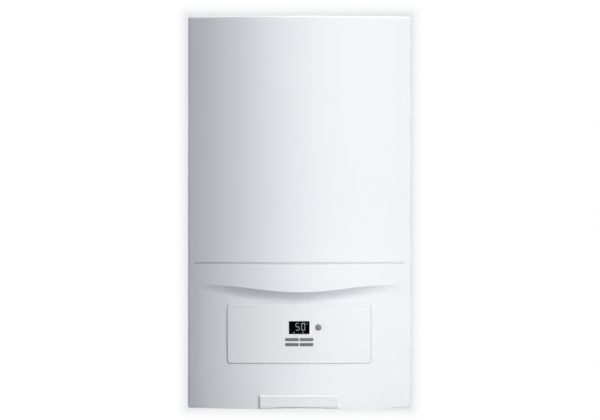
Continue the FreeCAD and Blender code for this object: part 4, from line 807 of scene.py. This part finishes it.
def motor_ribs():
    """Cooling ribs round the pump motor and the fan motor, and their end caps' screws."""
    pump_x, pump_z = 100, -510
    pump = [spot(pump_x, y, pump_z, FRONT) for y in (-122.0, -130.0, -138.0, -146.0, -154.0)]
    rib = {"radius": 42.6, "thickness": 2.4, "width": 2.6}
    dressed("pump_motor_ribs", "chassis", "black_plastic", pump, band, **rib)
    low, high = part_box("fan_motor")
    x, z = (low.x + high.x) / 2 / MM, (low.z + high.z) / 2 / MM
    fan = [spot(x, y, z, FRONT) for y in (-246.0, -251.0, -256.0)]
    rib = {"radius": 34.4, "thickness": 1.6, "width": 1.8}
    dressed("fan_motor_ribs", "chassis", "black_plastic", fan, band, **rib)
    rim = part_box("fan_housing")[0].y / MM
    screw_circle, screw_count, screw_turn = 48.0, 6, 0.35
    screws = ring_spots(x, rim, z, screw_circle, screw_count, screw_turn)
    dressed("fan_screws", "chassis", "steel", screws, dome_head, radius=3.4)
    plug = [spot(pump_x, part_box("pump_motor")[0].y / MM, pump_z, FRONT)]
    dressed("bleed_screw", "chassis", "steel", plug, dome_head, radius=9.0)


def button_cap():
    """The round button's domed cap."""
    low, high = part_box("reset_button")
    sunk, margin = 0.6, 0.1
    x, z = (low.x + high.x) / 2 / MM, (low.z + high.z) / 2 / MM
    spots = [spot(x, low.y / MM + sunk, z, FRONT)]
    radius = (high.x - low.x) / 2 / MM - margin
    fittings("button_cap", "reset", "grey_key", BUTTON_GREY, spots, dome_head, radius=radius)


# Wall, floor, lamps, surround and camera

def contact_shade(tree, reach):
    """How shaded a place on the floor is by what stands near it."""
    near = tree.nodes.new("ShaderNodeAmbientOcclusion")
    near.samples = 16
    near.inputs["Distance"].default_value = reach
    flip = add(tree, "ShaderNodeMapRange", To_Min=1.0, To_Max=0.0)
    tree.links.new(near.outputs["AO"], flip.inputs["Value"])
    return flip.outputs["Result"]


def wall_shade(tree, reach):
    """A painted soft shadow on the wall that follows the boiler's outline and fades away from it."""
    middle, half, falloff = (0.0, 0.0, -0.2874), (0.2112, 1.0, 0.3712), 2.0
    link = tree.links.new
    place = tree.nodes.new("ShaderNodeTexCoord")
    run = place.outputs["Object"]
    for operation, value in (
        ("SUBTRACT", middle),
        ("ABSOLUTE", None),
        ("SUBTRACT", half),
        ("MAXIMUM", (0.0, 0.0, 0.0)),
    ):
        step = operator(tree, "ShaderNodeVectorMath", operation)
        link(run, step.inputs[0])
        if value:
            step.inputs[1].default_value = value
        run = step.outputs[0]
    away = operator(tree, "ShaderNodeVectorMath", "LENGTH")
    link(run, away.inputs[0])
    fade = add(tree, "ShaderNodeMapRange", From_Max=reach, To_Min=1.0, To_Max=0.0)
    link(away.outputs["Value"], fade.inputs["Value"])
    soft = operator(tree, "ShaderNodeMath", "POWER")
    soft.inputs[1].default_value = falloff
    link(fade.outputs["Result"], soft.inputs[0])
    return soft.outputs[0]


def one_sided(name, corners, tone_far, tone_near, shade, reach):
    """A white plane seen from its front only, with painted shade where the boiler is near."""
    mesh = bpy.data.meshes.new(name)
    mesh.from_pydata(corners, [], [(0, 1, 2, 3)])
    mat = bpy.data.materials.new(name)
    mat.use_nodes = True
    tree = mat.node_tree
    link = tree.links.new
    tree.nodes.remove(tree.nodes["Principled BSDF"])
    out = tree.nodes["Material Output"]
    tone = colour_mix(tree)
    tone.inputs[FIRST].default_value = (*tone_far, 1)
    tone.inputs[SECOND].default_value = (*tone_near, 1)
    link(shade(tree, reach), tone.inputs[FACTOR])
    glow = tree.nodes.new("ShaderNodeEmission")
    link(tone.outputs[MIXED], glow.inputs["Color"])
    clear = tree.nodes.new("ShaderNodeBsdfTransparent")
    side = tree.nodes.new("ShaderNodeNewGeometry")
    pick = tree.nodes.new("ShaderNodeMixShader")
    link(side.outputs["Backfacing"], pick.inputs[0])
    link(glow.outputs[0], pick.inputs[1])
    link(clear.outputs[0], pick.inputs[2])
    link(pick.outputs[0], out.inputs["Surface"])
    mesh.materials.append(mat)
    plane = bpy.data.objects.new(name, mesh)
    scene.collection.objects.link(plane)
    plane.visible_shadow = False
    plane.visible_diffuse = False


def stage():
    """The wall behind the boiler and the floor far below it."""
    gap, side, ground, top = 1.5 * MM, 4, -1.3, 2.5
    wall = [(-side, gap, ground), (side, gap, ground), (side, gap, top), (-side, gap, top)]
    one_sided("wall", wall, (1, 1, 1), (0.79, 0.8, 0.82), wall_shade, 0.027)
    side, front, rear = 9, -12, 9
    floor = [(-side, front), (side, front), (side, rear), (-side, rear)]
    floor = [(x, y, ground) for x, y in floor]
    one_sided("floor", floor, (0.99, 0.99, 0.99), (0.6, 0.6, 0.6), contact_shade, 1.2)


def lamp(name, place, aim, wide, tall, power):
    """A rectangular lamp that the camera doesn't see; sizes in metres and watts."""
    data = bpy.data.lights.new(name, "AREA")
    data.shape = "RECTANGLE"
    data.size = wide
    data.size_y = tall
    data.energy = power
    item = bpy.data.objects.new(name, data)
    item.location = place
    item.rotation_euler = (Vector(aim) - Vector(place)).to_track_quat("-Z", "Y").to_euler()
    item.visible_camera = False
    scene.collection.objects.link(item)
    return item


def lamps():
    """The sun-like key, a soft strip and a narrow beam on the front, and fills all round."""
    key = bpy.data.lights.new("key_lamp", "SUN")
    key.energy = 2.17
    key.color = (1.0, 0.985, 0.96)
    key.angle = math.radians(18)
    item = bpy.data.objects.new("key_lamp", key)
    turn, rise = math.radians(52), math.radians(48)
    level = math.cos(rise)
    toward = Vector((math.sin(turn) * level, -math.cos(turn) * level, math.sin(rise)))
    item.rotation_euler = toward.to_track_quat("Z", "Y").to_euler()
    scene.collection.objects.link(item)
    strip = lamp("strip_lamp", (0.135, -0.57, -0.24), (0.12, -0.28, -0.24), 0.42, 1.4, 0.5)
    beam = lamp("beam_lamp", (0.1, -1.88, 0.33), (0.1, -0.28, -0.21), 0.45, 1.18, 0.86)
    beam_reach, beam_fade = 1.6, 0.3
    beam.data.spread = 2 * math.atan(beam_fade / beam_reach)
    for item in (strip, beam):
        item.visible_glossy = False
    lamp("left_lamp", (-1.6, 0.4, 0.5), (-0.2, -0.1, -0.29), 1.0, 1.4, 19)
    lamp("right_lamp", (1.7, 0.35, 0.5), (0.2, -0.1, -0.29), 1.0, 1.4, 10)
    lamp("high_lamp", (0.0, 0.55, 1.7), (0.0, -0.1, 0.06), 1.2, 1.0, 3)
    lamp("low_lamp", (0.12, -0.12, -1.2), (0.12, -0.2, -0.64), 0.9, 0.3, 3.5)


def surround():
    """A dim blue surround as light, seen as white, and graded upward in reflections."""
    world = bpy.data.worlds.new("Studio")
    scene.world = world
    world.use_nodes = True
    tree = world.node_tree
    link = tree.links.new
    ground = fill(tree.nodes["Background"], {"Color": (0.52, 0.68, 1.0, 1), "Strength": 0.105})
    seen = add(tree, "ShaderNodeBackground", Color=(1, 1, 1, 1))
    path = tree.nodes.new("ShaderNodeLightPath")
    compass = tree.nodes.new("ShaderNodeTexCoord")
    split = tree.nodes.new("ShaderNodeSeparateXYZ")
    link(compass.outputs["Generated"], split.inputs[0])
    sky = add(tree, "ShaderNodeMapRange", From_Min=-0.9, From_Max=0.9, To_Min=0.3, To_Max=1.5)
    link(split.outputs["Z"], sky.inputs["Value"])
    # A mix of two numbers: they are its sockets 2 and 3, and the result is its first output
    level = tree.nodes.new("ShaderNodeMix")
    level.inputs[2].default_value = 1.0
    link(path.outputs["Is Glossy Ray"], level.inputs[FACTOR])
    link(sky.outputs["Result"], level.inputs[3])
    link(level.outputs[0], seen.inputs["Strength"])
    bright = path.outputs["Is Camera Ray"]
    for ray in ("Is Glossy Ray", "Is Transmission Ray"):
        either = operator(tree, "ShaderNodeMath", "MAXIMUM")
        link(bright, either.inputs[0])
        link(path.outputs[ray], either.inputs[1])
        bright = either.outputs[0]
    mix = tree.nodes.new("ShaderNodeMixShader")
    link(bright, mix.inputs[0])
    link(ground.outputs[0], mix.inputs[1])
    link(seen.outputs[0], mix.inputs[2])
    link(mix.outputs[0], tree.nodes["World Output"].inputs["Surface"])


def camera():
    """A long lens square to the front."""
    data = bpy.data.cameras.new("Camera")
    data.lens = 167.0
    data.sensor_width = 36.0
    item = bpy.data.objects.new("Camera", data)
    item.location = (1.44 * MM, -5.27, -0.2842)
    item.rotation_euler = (math.radians(90), 0, 0)
    scene.collection.objects.link(item)
    scene.camera = item


dress_nodes()
display_marks()
key_marks()
pipe_fittings()
flue_rings()
top_screws()
box_back()
back_swages()
motor_ribs()
button_cap()
stage()
lamps()
surround()
camera()
scene.view_settings.view_transform = "Standard"
